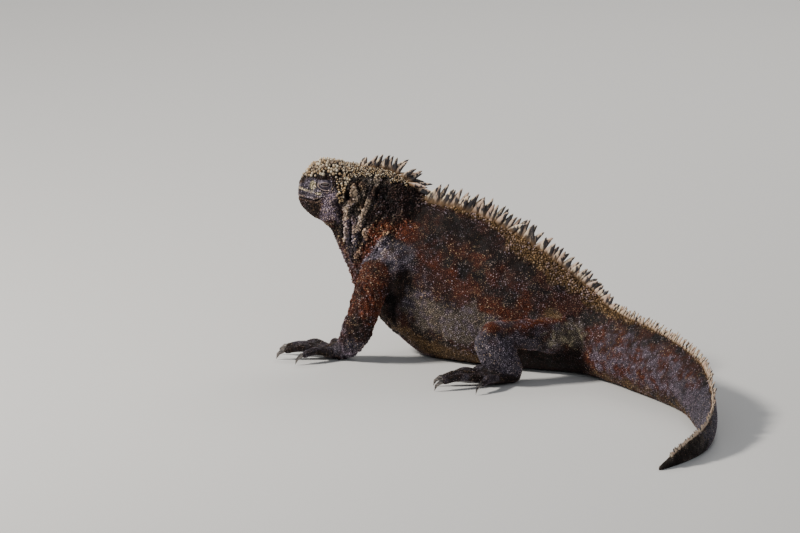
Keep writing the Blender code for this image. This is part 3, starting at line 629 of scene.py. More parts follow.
# %% Divide the face and the eye rings
EYE_PLACE = (38.0, 23.2, 24.0)
EYE_RADIUS = 0.0064
FACE_ZONES = [((22, 0, 8), 44), ((58, 0, 10), 44)]
EYE_ZONE = 14.5


def head_numbers(points):
    """Along, to the left and level in the head's frame, in millimetres, of many points."""
    away = (points - np.array(SNOUT)) / MM
    return away @ np.array(BACKWARD), away @ np.array(HEAD_LEFT), away[:, 2]


def eye_reach(along, left, level):
    """Distance from the nearer eye."""
    away = (along - EYE_PLACE[0], np.abs(left) - EYE_PLACE[1], level - EYE_PLACE[2])
    return np.sqrt(sum(x**2 for x in away))


def divide(mesh, chosen):
    """Cuts every edge between chosen points in two."""
    work = bmesh.new()
    work.from_mesh(mesh)
    work.verts.ensure_lookup_table()
    edges = [edge for edge in work.edges if chosen[edge.verts[0].index] and chosen[edge.verts[1].index]]
    bmesh.ops.subdivide_edges(work, edges=edges, cuts=1, use_grid_fill=True, smooth=0.0)
    bmesh.ops.triangulate(work, faces=[face for face in work.faces if len(face.verts) > 4])
    work.to_mesh(mesh)
    work.free()


along, left, level = head_numbers(coordinates(net))
away = [np.sqrt((along - c[0]) ** 2 + (left - c[1]) ** 2 + (level - c[2]) ** 2) < r for c, r in FACE_ZONES]
divide(net, np.any(away, axis=0))
divide(net, eye_reach(*head_numbers(coordinates(net))) < EYE_ZONE)
print("with a finer face:", len(net.vertices), "points")

# %% [markdown]
# ## Broad forms, folds and wrinkles
# The loose skin of the neck hangs in upright folds, the jaw muscle swells behind the cheek, and a brow juts
# over the eye. These forms are bumps and lines given by their place, so they are added as moves along the
# surface normal. A fold is a ridge with a shallow trough on each side.

# %% Forms of the head and folds of the neck
# Bumps of the head: along, level, spread and height, in millimetres, alike on both sides.
HEAD_FORMS = [
    *[(35.0, 34.5, 6.5, 3.0), (47.0, 31.0, 6.0, 1.8), (24.0, 23.0, 5.5, -2.6)],  # brow, hollow before it
    *[(38.0, 24.0, 6.0, -2.6), (38.0, 12.0, 5.0, -1.4), (6.5, 21.0, 4.0, 2.2)],  # eye, below it, nostril
    *[(10.0, 7.0, 5.0, 1.4), (24.0, 7.0, 5.0, 1.4), (20.0, -7.0, 6.0, 1.2)],  # lips
    *[(49.0, -2.0, 8.0, 3.0), (47.5, 12.0, 4.2, -2.6)],  # cheek and the hollow over it
    *[(58.0, -16.0, 8.0, 2.0), (39.0, -25.0, 3.6, 1.6)],  # jaw
]
# The same on the middle line, under the chin.
MIDDLE_FORMS = [(40.0, -33.0, 3.6, 3.4), (32.0, -29.5, 4.2, -2.8), (49.0, -38.0, 5.0, -2.4)]
# Folds: a line of (x, z) on the side of the body, height and spread in metres. Below zero it is a groove.
FOLDS = [
    ([(-0.2148, 0.2330), (-0.2129, 0.2138), (-0.2220, 0.2020)], 0.0030, 0.0042),
    ([(-0.2148, 0.2295), (-0.2129, 0.2138), (-0.2248, 0.2014), (-0.2239, 0.1777), (-0.2248, 0.1567)],
     0.0036, 0.0027),
    ([(-0.1830, 0.2434), (-0.1882, 0.2164), (-0.2002, 0.1914), (-0.2061, 0.1741), (-0.2091, 0.1531)],
     0.0040, 0.0028),
    ([(-0.1703, 0.2106), (-0.1852, 0.1819), (-0.2002, 0.1537), (-0.2082, 0.1340)], 0.0027, 0.0024),
    ([(-0.2020, 0.2350), (-0.2010, 0.2120), (-0.2120, 0.1860), (-0.2150, 0.1600)], 0.0026, 0.0020),
    ([(-0.1930, 0.2380), (-0.1950, 0.2200), (-0.2050, 0.2000)], 0.0024, 0.0019),
    ([(-0.1760, 0.2220), (-0.1790, 0.2060), (-0.1900, 0.1880), (-0.1960, 0.1650)], 0.0024, 0.0020),
    ([(-0.1530, 0.1300), (-0.1580, 0.1050), (-0.1500, 0.0600)], -0.0026, 0.0055),
    ([(-0.1480, 0.2010), (-0.1600, 0.1800), (-0.1740, 0.1560)], 0.0012, 0.0030),
    ([(-0.1260, 0.1500), (-0.1200, 0.1150), (-0.1000, 0.0800)], 0.0009, 0.0050),
    ([(-0.0500, 0.1500), (-0.0300, 0.1220), (0.0000, 0.1050)], 0.0009, 0.0045),
    ([(0.0700, 0.0760), (0.0840, 0.0750), (0.1170, 0.0715), (0.1310, 0.0570)], 0.0016, 0.0030),
    ([(0.0100, 0.1180), (0.0300, 0.1010), (0.0560, 0.0920)], 0.0010, 0.0040),
]
TROUGH_SHARE, TROUGH_PLACE = 0.62, 2.5
FOLD_SWAY, FOLD_SWAY_LENGTH = 0.0026, 0.019
FOLD_UNEVEN, FOLD_UNEVEN_LENGTH, BOLD_FOLD = 0.60, 0.009, 0.002


def line_distance(x, z, line):
    """Distance of many points from a line of (x, z)."""
    best = np.full(len(x), 1.0)
    for (ax, az), (bx, bz) in zip(line, line[1:]):
        long_x, long_z = bx - ax, bz - az
        share = np.clip(((x - ax) * long_x + (z - az) * long_z) / (long_x**2 + long_z**2), 0, 1)
        best = np.minimum(best, np.hypot(x - ax - share * long_x, z - az - share * long_z))
    return best


def bell(distance, spread):
    return np.exp(-((distance / spread) ** 2) / 2)


def waves(points, length, seed, count=14):
    """A cheap smooth noise between about -1 and 1: waves of one length in many directions."""
    rng = np.random.default_rng(seed)
    total = np.zeros(len(points))
    for turn in range(count):
        direction = rng.normal(size=3)
        direction *= 2 * np.pi / (length * rng.uniform(0.75, 1.35) * np.linalg.norm(direction))
        total += np.cos(points @ direction + rng.uniform(0, 6.28))
    return total / math.sqrt(count / 2) / 1.6


points = coordinates(net)
along, left, level = head_numbers(points)
move = np.zeros(len(points))
on_side = soft_step((np.abs(left) - 2) / 6) * (along < 95)
for form_along, form_level, spread, height in HEAD_FORMS:
    move += height * MM * bell(np.hypot(along - form_along, level - form_level), spread) * on_side
for form_along, form_level, spread, height in MIDDLE_FORMS:
    away = np.sqrt((along - form_along) ** 2 + (level - form_level) ** 2 + (left * 0.6) ** 2)
    move += height * MM * bell(away, spread)
middle_y = np.interp(points[:, 0], [-0.24, -0.16, 0.0, 0.14], [-0.016, -0.008, 0.0, 0.0])
beside = soft_step((np.abs(points[:, 1] - middle_y) - 0.006) / 0.012)
beside *= soft_step((0.068 - np.abs(points[:, 1] - middle_y)) / 0.008)
fold_move = np.zeros(len(points))
sway = np.stack([waves(points, FOLD_SWAY_LENGTH, seed) for seed in (5, 6, 7)], 1)
warped = points + FOLD_SWAY * sway
uneven = 1 + FOLD_UNEVEN * waves(points, FOLD_UNEVEN_LENGTH, 3)
for line, height, spread in FOLDS:
    away = line_distance(warped[:, 0], warped[:, 2], line)
    profile = bell(away, spread) - TROUGH_SHARE * bell(away - TROUGH_PLACE * spread, spread)
    fold_move += height * profile * beside * (uneven if height > BOLD_FOLD else 1)
# Loose skin: shallow swells on the trunk, and pleats that run down the neck.
trunk = soft_step((points[:, 0] + 0.19) / 0.03) * soft_step((points[:, 2] - 0.012) / 0.02)
loose = 0.0011 * waves(points * np.array([1, 1, 0.6]), 0.030, 11) + 0.0005 * waves(points, 0.012, 12)
neck_part = soft_step((-0.150 - points[:, 0]) / 0.02) * soft_step((along - 52) / 10)
loose *= trunk * np.interp(points[:, 0], (0.12, 0.17), (1.0, 0.3))
loose += 0.0013 * waves(points * np.array([1, 1, 0.5]), 0.0065, 13) * neck_part
points += normals_of(net) * (move + fold_move + loose)[:, None]
set_coordinates(net, points)
# Relief of the folds and swells; the hide paints it darker in the grooves and lighter on the ridges, as
# painted shade and highlight.
relief = fold_move / 0.003 * (points[:, 0] < -0.14) + loose / 0.006
print("largest move", round(move.max() * 1000, 1), "mm, deepest", round(move.min() * 1000, 1), "mm")

# %% [markdown]
# ## Lids, mouth and nostrils
# A resting iguana half closes its eyes: two thick lids leave a slit, ringed by folds. The lids are a dome
# over the eyeball, with the skin pushed inside the ball along the slit, so that the eye shows there.
# The mouth is a fine groove between two rounded lips, divided into plates.

# %% Lids, mouth and nostrils
MOUTH_LINE = [(-2.0, 0.5), (0.0, 0.5), (5.0, 2.3), (14.0, 1.6), (25.0, 0.8), (30.0, 2.5), (34.5, 6.0)]
LIP_LINE = [(-2.0, 15.0), (2.0, 15.0), (16.0, 12.4), (31.0, 9.6), (36.0, 12.0)]
LID_RADIUS = 7.5
SLIT_HALF, SLIT_OPEN = 5.8, 1.9
NOSTRIL_PLACE = (6.6, 12.0, 21.0)
EAR_PLACE = (71.0, 35.2, 10.0)


def carve_face(points, normals):
    """Moves the points of the face into lids, lips, nostrils and ears."""
    along, left, level = head_numbers(points)
    side = np.sign(left)
    dx, dz = along - EYE_PLACE[0], level - EYE_PLACE[2]
    # Lids: the outward place of the skin is drawn to a dome over the eyeball.
    around = np.hypot(dx / 1.22, dz)
    dome = EYE_PLACE[1] + np.sqrt(np.maximum(LID_RADIUS**2 - (dx / 1.1) ** 2 - dz**2, 4.0))
    slit_level = -0.4 - 0.02 * dx
    opening = SLIT_OPEN * np.sqrt(np.maximum(1 - (dx / SLIT_HALF) ** 2, 0))
    from_slit = np.abs(dz - slit_level) - opening
    dome += 0.55 * bell(from_slit - 0.9, 0.6) * (np.abs(dx) < SLIT_HALF + 1.5)
    dome -= 0.5 * bell(around - 5.4, 0.45)
    inside = (from_slit < 0) & (np.abs(dx) < SLIT_HALF)
    ball = EYE_PLACE[1] + np.sqrt(np.maximum((EYE_RADIUS / MM) ** 2 - dx**2 - dz**2, 0)) - 1.6
    dome = np.where(inside, ball, dome)
    share = soft_step((8.6 - around) / 2.6) * (np.abs(left) > 12)
    outward = side * (dome - np.abs(left)) * share
    points = points + np.outer(outward * MM, np.array(HEAD_LEFT))
    # Folds in rings round the lids, strongest below and behind.
    oval = np.hypot((dx - 1.5) / 1.42, dz + 0.6) + 0.55 * waves(points, 0.010, 17)
    ripple = np.cos(2 * np.pi * (oval - 8.3) / 2.5)
    ripple = ripple * soft_step((oval - 6.6) / 1.3) * soft_step((13.0 - oval) / 3)
    below = 0.2 + 0.8 * soft_step((3 - dz) / 7)
    move = 1.15 * ripple * below * (np.abs(left) > 12)
    # Mouth: a groove with a lip on each side, and the upper rim of the upper lip.
    mouth = level - np.interp(along, *zip(*MOUTH_LINE))
    rim = level - np.interp(along, *zip(*LIP_LINE))
    in_mouth = soft_step((35.5 - along) / 2.5)
    plates = 0.5 + 0.5 * np.abs(np.sin(np.pi * along / 3.3))
    move += in_mouth * (-1.9 * bell(mouth, 0.62) + 0.9 * bell(mouth - 2.6, 1.3) * plates)
    move += in_mouth * (0.8 * bell(mouth + 2.3, 1.1) * plates)
    move += in_mouth * (0.7 * bell(rim, 0.9) - 0.7 * bell(rim - 2.2, 0.8)) * (np.abs(left) > 6)
    # Nostrils: a rim and a pit. Ears: a shallow dish.
    place = [np.abs(left) - NOSTRIL_PLACE[1], along - NOSTRIL_PLACE[0], level - NOSTRIL_PLACE[2]]
    nostril = np.sqrt(sum(x**2 for x in place))
    move += 0.9 * bell(nostril - 3.2, 0.9) - 3.4 * bell(nostril, 1.25)
    ear = np.hypot((along - EAR_PLACE[0]) / 0.75, level - EAR_PLACE[2])
    move += (0.7 * bell(ear - 8.0, 1.0) - 2.6 * bell(ear, 4.2)) * (np.abs(left) > 20)
    move *= along < 92
    # Painted shade in the slit of the eye, and a painted highlight on the raised rim of the lids.
    lid_relief = (0.8 * bell(from_slit - 0.9, 0.6) - 2.0 * inside) * share
    return points + normals * (move * MM)[:, None], move + lid_relief


net_points, face_relief = carve_face(coordinates(net), normals_of(net))
relief += face_relief / 0.9
net_points[:, 2] = np.maximum(net_points[:, 2], 0.0)
set_coordinates(net, net_points)
store(net, "relief", np.clip(relief, -1, 1))
print("face carved; lowest point", round(net_points[:, 2].min(), 5))

# %% [markdown]
# ## Where each point of the skin belongs
# Markings and scales follow the body: rows run towards the tail, and down each limb. Every point of the skin
# is given to the nearest place on the middle line of a tube. That yields its part, how far along it lies,
# how high it is between belly and back, and the way the scales lie there.

# %% Parts, places along them and the lie of the scales
BODY_PART, UPPER, LOWER, PALM = 0, 1, 2, 3  # the digits come after the palm
FINE_STEP = 0.05  # in rings


def line_samples():
    """Points, radius, travel, part, limb number and place along, over the middle lines of all tubes."""
    table = []
    for at in np.arange(0.4, TAIL_END, 0.2):
        row, up, left_side, ahead = body_frame(at)
        middle = (row[:3] + row[3:6]) / 2
        table.append([*middle, (row[6] + up.length / 2) / 2, *ahead, BODY_PART, -1, at])
    for limb_number, (name, limb, palm, digits, side) in enumerate(LIMBS):
        for tube_number, (rows, reference) in enumerate(limb_tubes(name, limb, palm, digits, side)):
            rows = np.array(rows, float)
            part = min(tube_number, 3) + 1
            for at in np.linspace(0.25 if tube_number == 0 else 0, len(rows) - 1, 16):
                row = smooth(rows, at)
                travel = Vector((smooth(rows, at + 0.05) - smooth(rows, at - 0.05))[:3]).normalized()
                radius, share = (row[3] + row[4]) / 2, at / (len(rows) - 1)
                table.append([*row[:3], radius, *travel, part, limb_number, share])
    return np.array(table)


SAMPLES = line_samples()


def belongings(points):
    """For each point: part, limb, place along and travel of the nearest tube."""
    best = np.full(len(points), 9.0)
    chosen = np.zeros(len(points), int)
    for number, sample in enumerate(SAMPLES):
        away = points - sample[:3]
        depth = away @ sample[4:7]
        away = np.sqrt(np.maximum(np.einsum("ij,ij->i", away, away), 0)) - sample[3] + 0.3 * np.abs(depth)
        nearer = away < best
        best[nearer] = away[nearer]
        chosen[nearer] = number
    rows = SAMPLES[chosen]
    return rows[:, 7].astype(int), rows[:, 8].astype(int), rows[:, 9], rows[:, 4:7]


def ring_place(points, guess):
    """Place along the body and share of the height (0 belly, 1 back) of many points."""
    fine = np.arange(0, TAIL_END, FINE_STEP)
    frames = [body_frame(at) for at in fine]
    backs = np.array([row[:3] for row, up, left_side, ahead in frames])
    bellies = np.array([row[3:6] for row, up, left_side, ahead in frames])
    travels = np.array([list(ahead) for row, up, left_side, ahead in frames])
    index = np.clip(np.round(guess / FINE_STEP).astype(int), 0, len(fine) - 1)
    middles = (backs + bellies) / 2
    steps = np.linalg.norm(np.gradient(middles, axis=0), axis=1)
    for turn in range(12):
        ahead = np.einsum("ij,ij->i", points - middles[index], travels[index])
        index = np.clip(index + np.round(ahead / steps[index] * 0.7).astype(int), 0, len(fine) - 1)
    tall = backs[index] - bellies[index]
    share = np.einsum("ij,ij->i", points - bellies[index], tall) / np.einsum("ij,ij->i", tall, tall)
    return fine[index], share


print("places on the middle lines:", len(SAMPLES))

# %% [markdown]
# ## Fewer faces where the skin is plain
# The voxels are much finer than the belly needs. Collapse decimation keeps the shape best when it may spend
# the faces unevenly, so a weight protects the head and the hands.

# %% Decimate the net
SKIN_TRIANGLES = 190_000
# How much of the net is kept: head and nape, hands, round the eyes, and everywhere else.
NAPE_END, KEEP_HEAD, KEEP_HANDS, KEEP_EYES, KEEP_REST = 13.5, 0.75, 0.12, 1.0, 0.05
EYES_REACH = 16
points = coordinates(net)
part, limb_number, place_along, travel = belongings(points)
keep = np.where((part == BODY_PART) & (place_along < NAPE_END), KEEP_HEAD, KEEP_REST)
keep = np.where(part >= PALM, KEEP_HANDS, keep)
keep = np.where(eye_reach(*head_numbers(points)) < EYES_REACH, KEEP_EYES, keep)
group = skin.vertex_groups.new(name="keep")
for value in np.unique(keep):
    group.add(np.nonzero(keep == value)[0].tolist(), float(value), "REPLACE")
thin = skin.modifiers.new("thin", "DECIMATE")
thin.use_collapse_triangulate = True
thin.vertex_group = "keep"
thin.vertex_group_factor = 5e-6
thin.invert_vertex_group = True
total = sum(len(face.vertices) - 2 for face in net.polygons)
thin.ratio = min(1.0, SKIN_TRIANGLES / total)
thinned = finished_mesh(skin)
skin.modifiers.clear()
skin.vertex_groups.clear()
skin.data = thinned
net = thinned
print("skin:", total, "->", sum(len(face.vertices) - 2 for face in net.polygons), "triangles")

# %% [markdown]
# ## An unwrap of the skin
# The baked texture and the roots of the scales need a flat map of the skin. Unwrapping the folded skin would
# break it into crumbs, so the points are relaxed first, the map is cut there, and the folds are put back.

# %% Unwrap the relaxed shape
UNWRAP_ROUNDS, UNWRAP_STEP = 30, 0.7
ISLAND_ANGLE, ISLAND_GAP = math.radians(72), 0.002
folded = coordinates(net)
pairs = edge_pairs(net)
counts = neighbour_counts(pairs, len(folded))
relaxed = folded.copy()
for turn in range(UNWRAP_ROUNDS):
    relaxed += (neighbour_mean(relaxed, pairs, counts) - relaxed) * UNWRAP_STEP
set_coordinates(net, relaxed)
net.uv_layers.new(name="OFBake")
bpy.context.view_layer.objects.active = skin
skin.select_set(True)
bpy.ops.object.mode_set(mode="EDIT")
bpy.ops.mesh.select_all(action="SELECT")
bpy.ops.uv.smart_project(angle_limit=ISLAND_ANGLE, island_margin=ISLAND_GAP, rotate_method="AXIS_ALIGNED")
bpy.ops.object.mode_set(mode="OBJECT")
skin.select_set(False)
net = skin.data
set_coordinates(net, folded)
print("unwrapped", len(net.uv_layers["OFBake"].data), "corners")

# %% [markdown]
# ## The crest
# Three rows of horn spines stand on the middle of the back: long ragged ones on the nape, a leaning row on
# the back and a low comb on the tail. Each is a flattened cone that bows backwards. Making them one by one
# in Python gives each its own height, lean and bow, and a patch of its own on a map of the whole row.

# %% One spine
SPINE_AROUND, SPINE_LEVELS = 12, 14
SPINE_POINT = 0.0002


def spine_shape(root, direction, along_body, height, half_sizes, bow, twist):
    """Points, faces, share of the height and front side of one spine, from its sunk foot to its tip."""
    across = along_body.cross(direction).normalized()
    forward = direction.cross(across).normalized()
    turns = 2 * np.pi * np.arange(SPINE_AROUND) / SPINE_AROUND
    levels = np.linspace(0, 1, SPINE_LEVELS)
    rings = []
    for share in levels:
        taper = (1 - share) ** 0.62 * (1 - 0.10 * math.sin(math.pi * share)) + 0.03
        place = root + direction * (height * share) + forward * (height * bow * share**2)
        place = place + across * (height * twist * share**1.6)
        ridge = 1 + 0.10 * math.sin(share * 40) * (1 - share)
        wide = np.outer(np.cos(turns) * half_sizes[0] * taper, forward)
        deep = np.outer(np.sin(turns) * half_sizes[1] * taper * ridge, across)
        rings.append(np.array(place) + wide + deep)
    points, faces = stack(rings, np.array(place) + np.array(direction) * SPINE_POINT)
    shares = np.append(np.repeat(levels, SPINE_AROUND), 1.0)
    # The front side of each ring, which the horn material paints pale and the back dark, as painted light and
    # shade.
    fronts = np.append(np.tile(-np.cos(turns), SPINE_LEVELS), 0.0)
    return points, faces, shares, fronts


print("points in one spine:", SPINE_AROUND * SPINE_LEVELS + 1)

# %% [markdown]
# ## Three rows of spines
# A row has its spacing and, at its front, middle and end, a height and a lean. The random numbers of each row
# start from a seed of its own, so that a change to one row leaves the others as they are.

# %% Rows of spines
# Rows: ends in rings, spacing, heights and leans along the row, root half length and half width, in metres.
CREST_ROWS = [
    ("nape", (10.5, 14.0), 0.0028, (0.0125, 0.0280, 0.0290), (-16, -2, 47), (0.0052, 0.0032), 13, 0.20),
    ("back", (15.0, 24.2), 0.0051, (0.0300, 0.0275, 0.0155), (-11, -1, 32), (0.0062, 0.0036), 8, 0.10),
    ("tail", (24.4, 32.4), 0.0030, (0.0160, 0.0148, 0.0060), (28, 28, 40), (0.0033, 0.0019), 5, 0.10),
]
SPINE_FOOT = 0.0040
# Per row, how much the painted light on the front faces of the spines is raised or lowered.
PALER = {"nape": -0.40, "back": -0.22, "tail": 0.8}
GOLDEN = 0.618034  # steps of this share spread the shades of neighbours
SPINE_BOW = 0.16


def crest_row(name, ends, spacing, heights, leans, root_size, jitter, sway, seed):
    """All spines of one row as points, faces, share of the height and number of the spine."""
    rng = random.Random(seed)
    places = body_places(*ends, spacing)
    shapes, shares, fronts, owners = [], [], [], []
    for number, at in enumerate(places):
        share = number / (len(places) - 1)
        row, up, left_side, ahead = body_frame(at + rng.uniform(-0.12, 0.12) * sway)
        lean = float(np.interp(share, (0, 0.5, 1), leans)) + rng.gauss(0, jitter)
        height = float(np.interp(share, (0, 0.5, 1), heights)) * rng.uniform(0.80, 1.04)
        stand = up.normalized() * math.cos(math.radians(lean)) + ahead * math.sin(math.radians(lean))
        stand = (stand + left_side * rng.gauss(0, sway)).normalized()
        size = rng.uniform(0.9, 1.1)
        root = Vector(row[:3]) - up.normalized() * SPINE_FOOT
        bow = SPINE_BOW * rng.uniform(0.5, 1.3)
        half_sizes = (root_size[0] * size, root_size[1] * size)
        made = spine_shape(root, stand, ahead, height + SPINE_FOOT, half_sizes, bow, rng.gauss(0, 0.04))
        shapes.append(made[:2])
        shares.append(made[2])
        # Each row shifts the painted light of the front faces by a tone of its own, and the rear of the nape
        # row is painted darker.
        fronts.append(made[3] + PALER[name] - (0.9 * max(0.0, share - 0.5) if name == "nape" else 0.0))
        owners += [number] * len(made[2])
    return shapes, np.concatenate(shares), np.concatenate(fronts), np.array(owners)


def tiled_map(mesh, owners, shares, turns):
    """A map with one tile for each owner, with the share of the height going up it."""
    columns = math.ceil(math.sqrt(owners.max() + 1))
    corner_point = read(mesh.loops, "vertex_index", 1, np.int32)
    layer = mesh.uv_layers.new(name="OFBake")
    tile = owners[corner_point]
    across = (turns[corner_point] * 0.9 + 0.05 + tile % columns) / columns
    upward = (shares[corner_point] * 0.9 + 0.05 + tile // columns) / columns
    layer.data.foreach_set("uv", np.stack([across, upward], 1).astype(np.float32).ravel())


crest_pieces = []
for number, crest_values in enumerate(CREST_ROWS):
    crest_shapes, shares, fronts, owners = crest_row(*crest_values, seed=41 + number)
    name = crest_values[0] + "_crest"
    piece = new_object(name, joined_mesh(name, crest_shapes))
    around = np.arange(len(shares)) % (SPINE_AROUND * SPINE_LEVELS + 1) % SPINE_AROUND
    store(piece.data, "peak", shares)
    store(piece.data, "front", fronts)
    store(piece.data, "shade", (owners * GOLDEN) % 1)
    tiled_map(piece.data, owners, shares, np.abs(around / SPINE_AROUND * 2 - 1))
    crest_pieces.append(piece)
    print(piece.name, owners.max() + 1, "spines,", len(piece.data.polygons), "faces")

# %% [markdown]
# ## Scattering raised scales
# The coat is thousands of small horn scales. One Geometry Nodes tree scatters them: points with a least
# distance on the skin, one low-poly scale on each, turned to the surface and to the lie of the body.
# The same tree serves every region, with its own scale, spacing and size.

# %% Tree that scatters scales
PATCH = 0.003  # width of one scale's place on the map
SCATTER_INPUTS = [
    ("Skin", "NodeSocketGeometry"),
    ("Scale Shape", "NodeSocketObject"),
    ("Cover", "NodeSocketString"),
    ("Spacing", "NodeSocketFloat"),
    ("Width", "NodeSocketFloat"),
    ("Height", "NodeSocketFloat"),
    ("Uneven", "NodeSocketFloat"),
    ("Turn", "NodeSocketFloat"),
    ("Seed", "NodeSocketInt"),
    ("Material", "NodeSocketMaterial"),
]


def add_node(tree, kind, inputs, output=0, **settings):
    """A new node with its settings, and its inputs as links or values; gives one of its outputs."""
    made = tree.nodes.new(kind)
    for key, value in settings.items():
        setattr(made, key, value)
    for key, value in inputs.items():
        if isinstance(value, bpy.types.NodeSocket):
            tree.links.new(value, made.inputs[key])
        else:
            made.inputs[key].default_value = value
    return made.outputs[output]


def scatter_tree():
    tree = bpy.data.node_groups.new("scatter_scales", "GeometryNodeTree")
    for name, kind in SCATTER_INPUTS:
        tree.interface.new_socket(name, in_out="INPUT", socket_type=kind)
    tree.interface.new_socket("Scales", in_out="OUTPUT", socket_type="NodeSocketGeometry")
    given = tree.nodes.new("NodeGroupInput").outputs

    def node(kind, inputs, output=0, **settings):
        return add_node(tree, kind, inputs, output, **settings)

    def calculated(operation, *values):
        return node("ShaderNodeMath", dict(enumerate(values)), operation=operation)

    def random_value(low, high, seed):
        inputs = {2: low, 3: high, "Seed": calculated("ADD", given["Seed"], seed)}
        return node("FunctionNodeRandomValue", inputs, 1, data_type="FLOAT")

    def named(kind, name):
        return node("GeometryNodeInputNamedAttribute", {"Name": name}, "Attribute", data_type=kind)

    def stored(geometry, kind, domain, name, value):
        inputs = {"Name": name, "Geometry": geometry, "Value": value}
        return node("GeometryNodeStoreNamedAttribute", inputs, data_type=kind, domain=domain)

    # Roots on the skin, and the way that each scale stands and lies.
    inputs = {
        "Mesh": given["Skin"],
        "Distance Min": given["Spacing"],
        "Density Max": calculated("DIVIDE", 4.0, calculated("POWER", given["Spacing"], 2.0)),
        "Density Factor": calculated("MINIMUM", named("FLOAT", given["Cover"]), 1.0),
        "Seed": given["Seed"],
    }
    roots = node("GeometryNodeDistributePointsOnFaces", inputs, "Points", distribute_method="POISSON")
    upright = node("FunctionNodeAlignRotationToVector", {"Vector": roots.node.outputs["Normal"]}, axis="Z")
    inputs = {"Rotation": upright, "Vector": named("FLOAT_VECTOR", "lie")}
    lying = node("FunctionNodeAlignRotationToVector", inputs, axis="X", pivot_axis="Z")
    angle = calculated("MULTIPLY", random_value(-1, 1, 7), given["Turn"])
    euler = node("FunctionNodeEulerToRotation", {0: node("ShaderNodeCombineXYZ", {"Z": angle})})
    inputs = {"Rotation": lying, "Rotate By": euler}
    turned = node("FunctionNodeRotateRotation", inputs, rotation_space="LOCAL")

    # Its size, and the scale itself.
    uneven = [calculated("MULTIPLY", random_value(-1, 1, seed), given["Uneven"]) for seed in (3, 5)]
    swell, rise = [calculated("ADD", 1.0, share) for share in uneven]
    swell = calculated("MULTIPLY", swell, named("FLOAT", "swell"))
    width = calculated("MULTIPLY", given["Width"], swell)
    height = calculated("MULTIPLY", calculated("MULTIPLY", given["Height"], swell), rise)
    inputs = {
        "Points": roots,
        "Instance": node("GeometryNodeObjectInfo", {"Object": given["Scale Shape"]}, "Geometry"),
        "Rotation": turned,
        "Scale": node("ShaderNodeCombineXYZ", {0: width, 1: width, 2: height}),
    }
    grown = node("GeometryNodeInstanceOnPoints", inputs)

    # Its shade, and its place on the skin's map.
    grown = stored(grown, "FLOAT", "INSTANCE", "shade", random_value(0, 1, 11))
    grown = stored(grown, "FLOAT2", "INSTANCE", "root_map", named("FLOAT_VECTOR", "OFBake"))
    grown = node("GeometryNodeRealizeInstances", {"Geometry": grown})
    inputs = {0: named("FLOAT_VECTOR", "patch"), "Scale": PATCH}
    patch = node("ShaderNodeVectorMath", inputs, operation="SCALE")
    place = node("ShaderNodeVectorMath", {0: named("FLOAT_VECTOR", "root_map"), 1: patch}, operation="ADD")
    grown = stored(grown, "FLOAT2", "CORNER", "OFBake", place)
    grown = node("GeometryNodeSetMaterial", {"Geometry": grown, "Material": given["Material"]})
    tree.links.new(grown, tree.nodes.new("NodeGroupOutput").inputs[0])
    return tree


SCATTER = scatter_tree()
SOCKETS = {item.name: item.identifier for item in SCATTER.interface.items_tree if item.in_out == "INPUT"}
print("inputs:", ", ".join(SOCKETS))

# %% [markdown]
# ## Shapes of the scales
# A scale that is repeated thousands of times must be cheap: five sides and a keel that leans to the tail.
# The bosses of the crown are few, so they can be round: a dome with a blunt point.

# %% Low scales and bosses
def scale_shape(name, count, levels, foot):
    """A closed scale: a ring of corners for each level (radius, height, shift), a tip, and a flat foot."""
    turns = 2 * np.pi * (np.arange(count) + 0.5) / count
    rings = [
        np.stack([np.cos(turns) * radius + shift, np.sin(turns) * radius, np.full(count, high)], 1)
        for radius, high, shift in levels[:-1]
    ]
    rings[0][:, 2] = foot
    tip = levels[-1]
    points, faces = stack(rings, [tip[2], 0, tip[1]])
    made = new_object(name, joined_mesh(name, [(points, faces)]))
    # The height share of each point, by which the materials paint the foot of every scale darker, as painted
    # shade.
    store(made.data, "peak", np.clip(points[:, 2] / tip[1], 0, 1))
    corner_point = read(made.data.loops, "vertex_index", 1, np.int32)
    flat = points[corner_point][:, :2] / (2 * np.abs(points[:, :2]).max())
    store(made.data, "patch", flat, "FLOAT2", "CORNER")
    return made


keeled_scale = scale_shape("keeled_scale", 5, [(1, 0, 0), (0, 1, 0.42)], -0.5)
cone_scale = scale_shape("cone_scale", 6, [(1, 0, 0), (0.66, 0.62, 0.12), (0, 1, 0.3)], -0.5)
boss_levels = [(1, 0, 0), (0.97, 0.24, 0), (0.76, 0.55, 0.04), (0.42, 0.82, 0.13), (0, 1.0, 0.2)]
boss = scale_shape("boss", 8, boss_levels, -0.6)
for shape in (keeled_scale, cone_scale, boss):
    print(shape.name, sum(len(face.vertices) - 2 for face in shape.data.polygons), "triangles")

# %% [markdown]
# ## Regions of the hide
# Each kind of scale has its own country: round bosses on the crown, cones behind the cheek and beside the
# crest, small grains on the face, keeled scales on trunk, limbs and tail. The country is a weight on the
# points of the skin, given by the place along the body and the height between belly (0) and back (1).

# %% Measures of every point of the skin
HEAD_PART, NECK_START, TORSO_START, TAIL_START, TAIL_SCALES_END = 62, 10.3, 15.2, 24.6, 32.6
CROWN_FRONT, CROWN_BACK = 3, 60
points = coordinates(net)
part, limb_number, place_along, travel = belongings(points)
body_at, height_share = ring_place(points, np.where(part == BODY_PART, place_along, 18.0))
along, left, level = head_numbers(points)
sideways = np.abs(left)
on_body = part == BODY_PART


def between(values, low, high, blur):
    """1 between two limits, 0 outside, with a soft edge."""
    return soft_step((values - low) / blur + 0.5) * soft_step((high - values) / blur + 0.5)


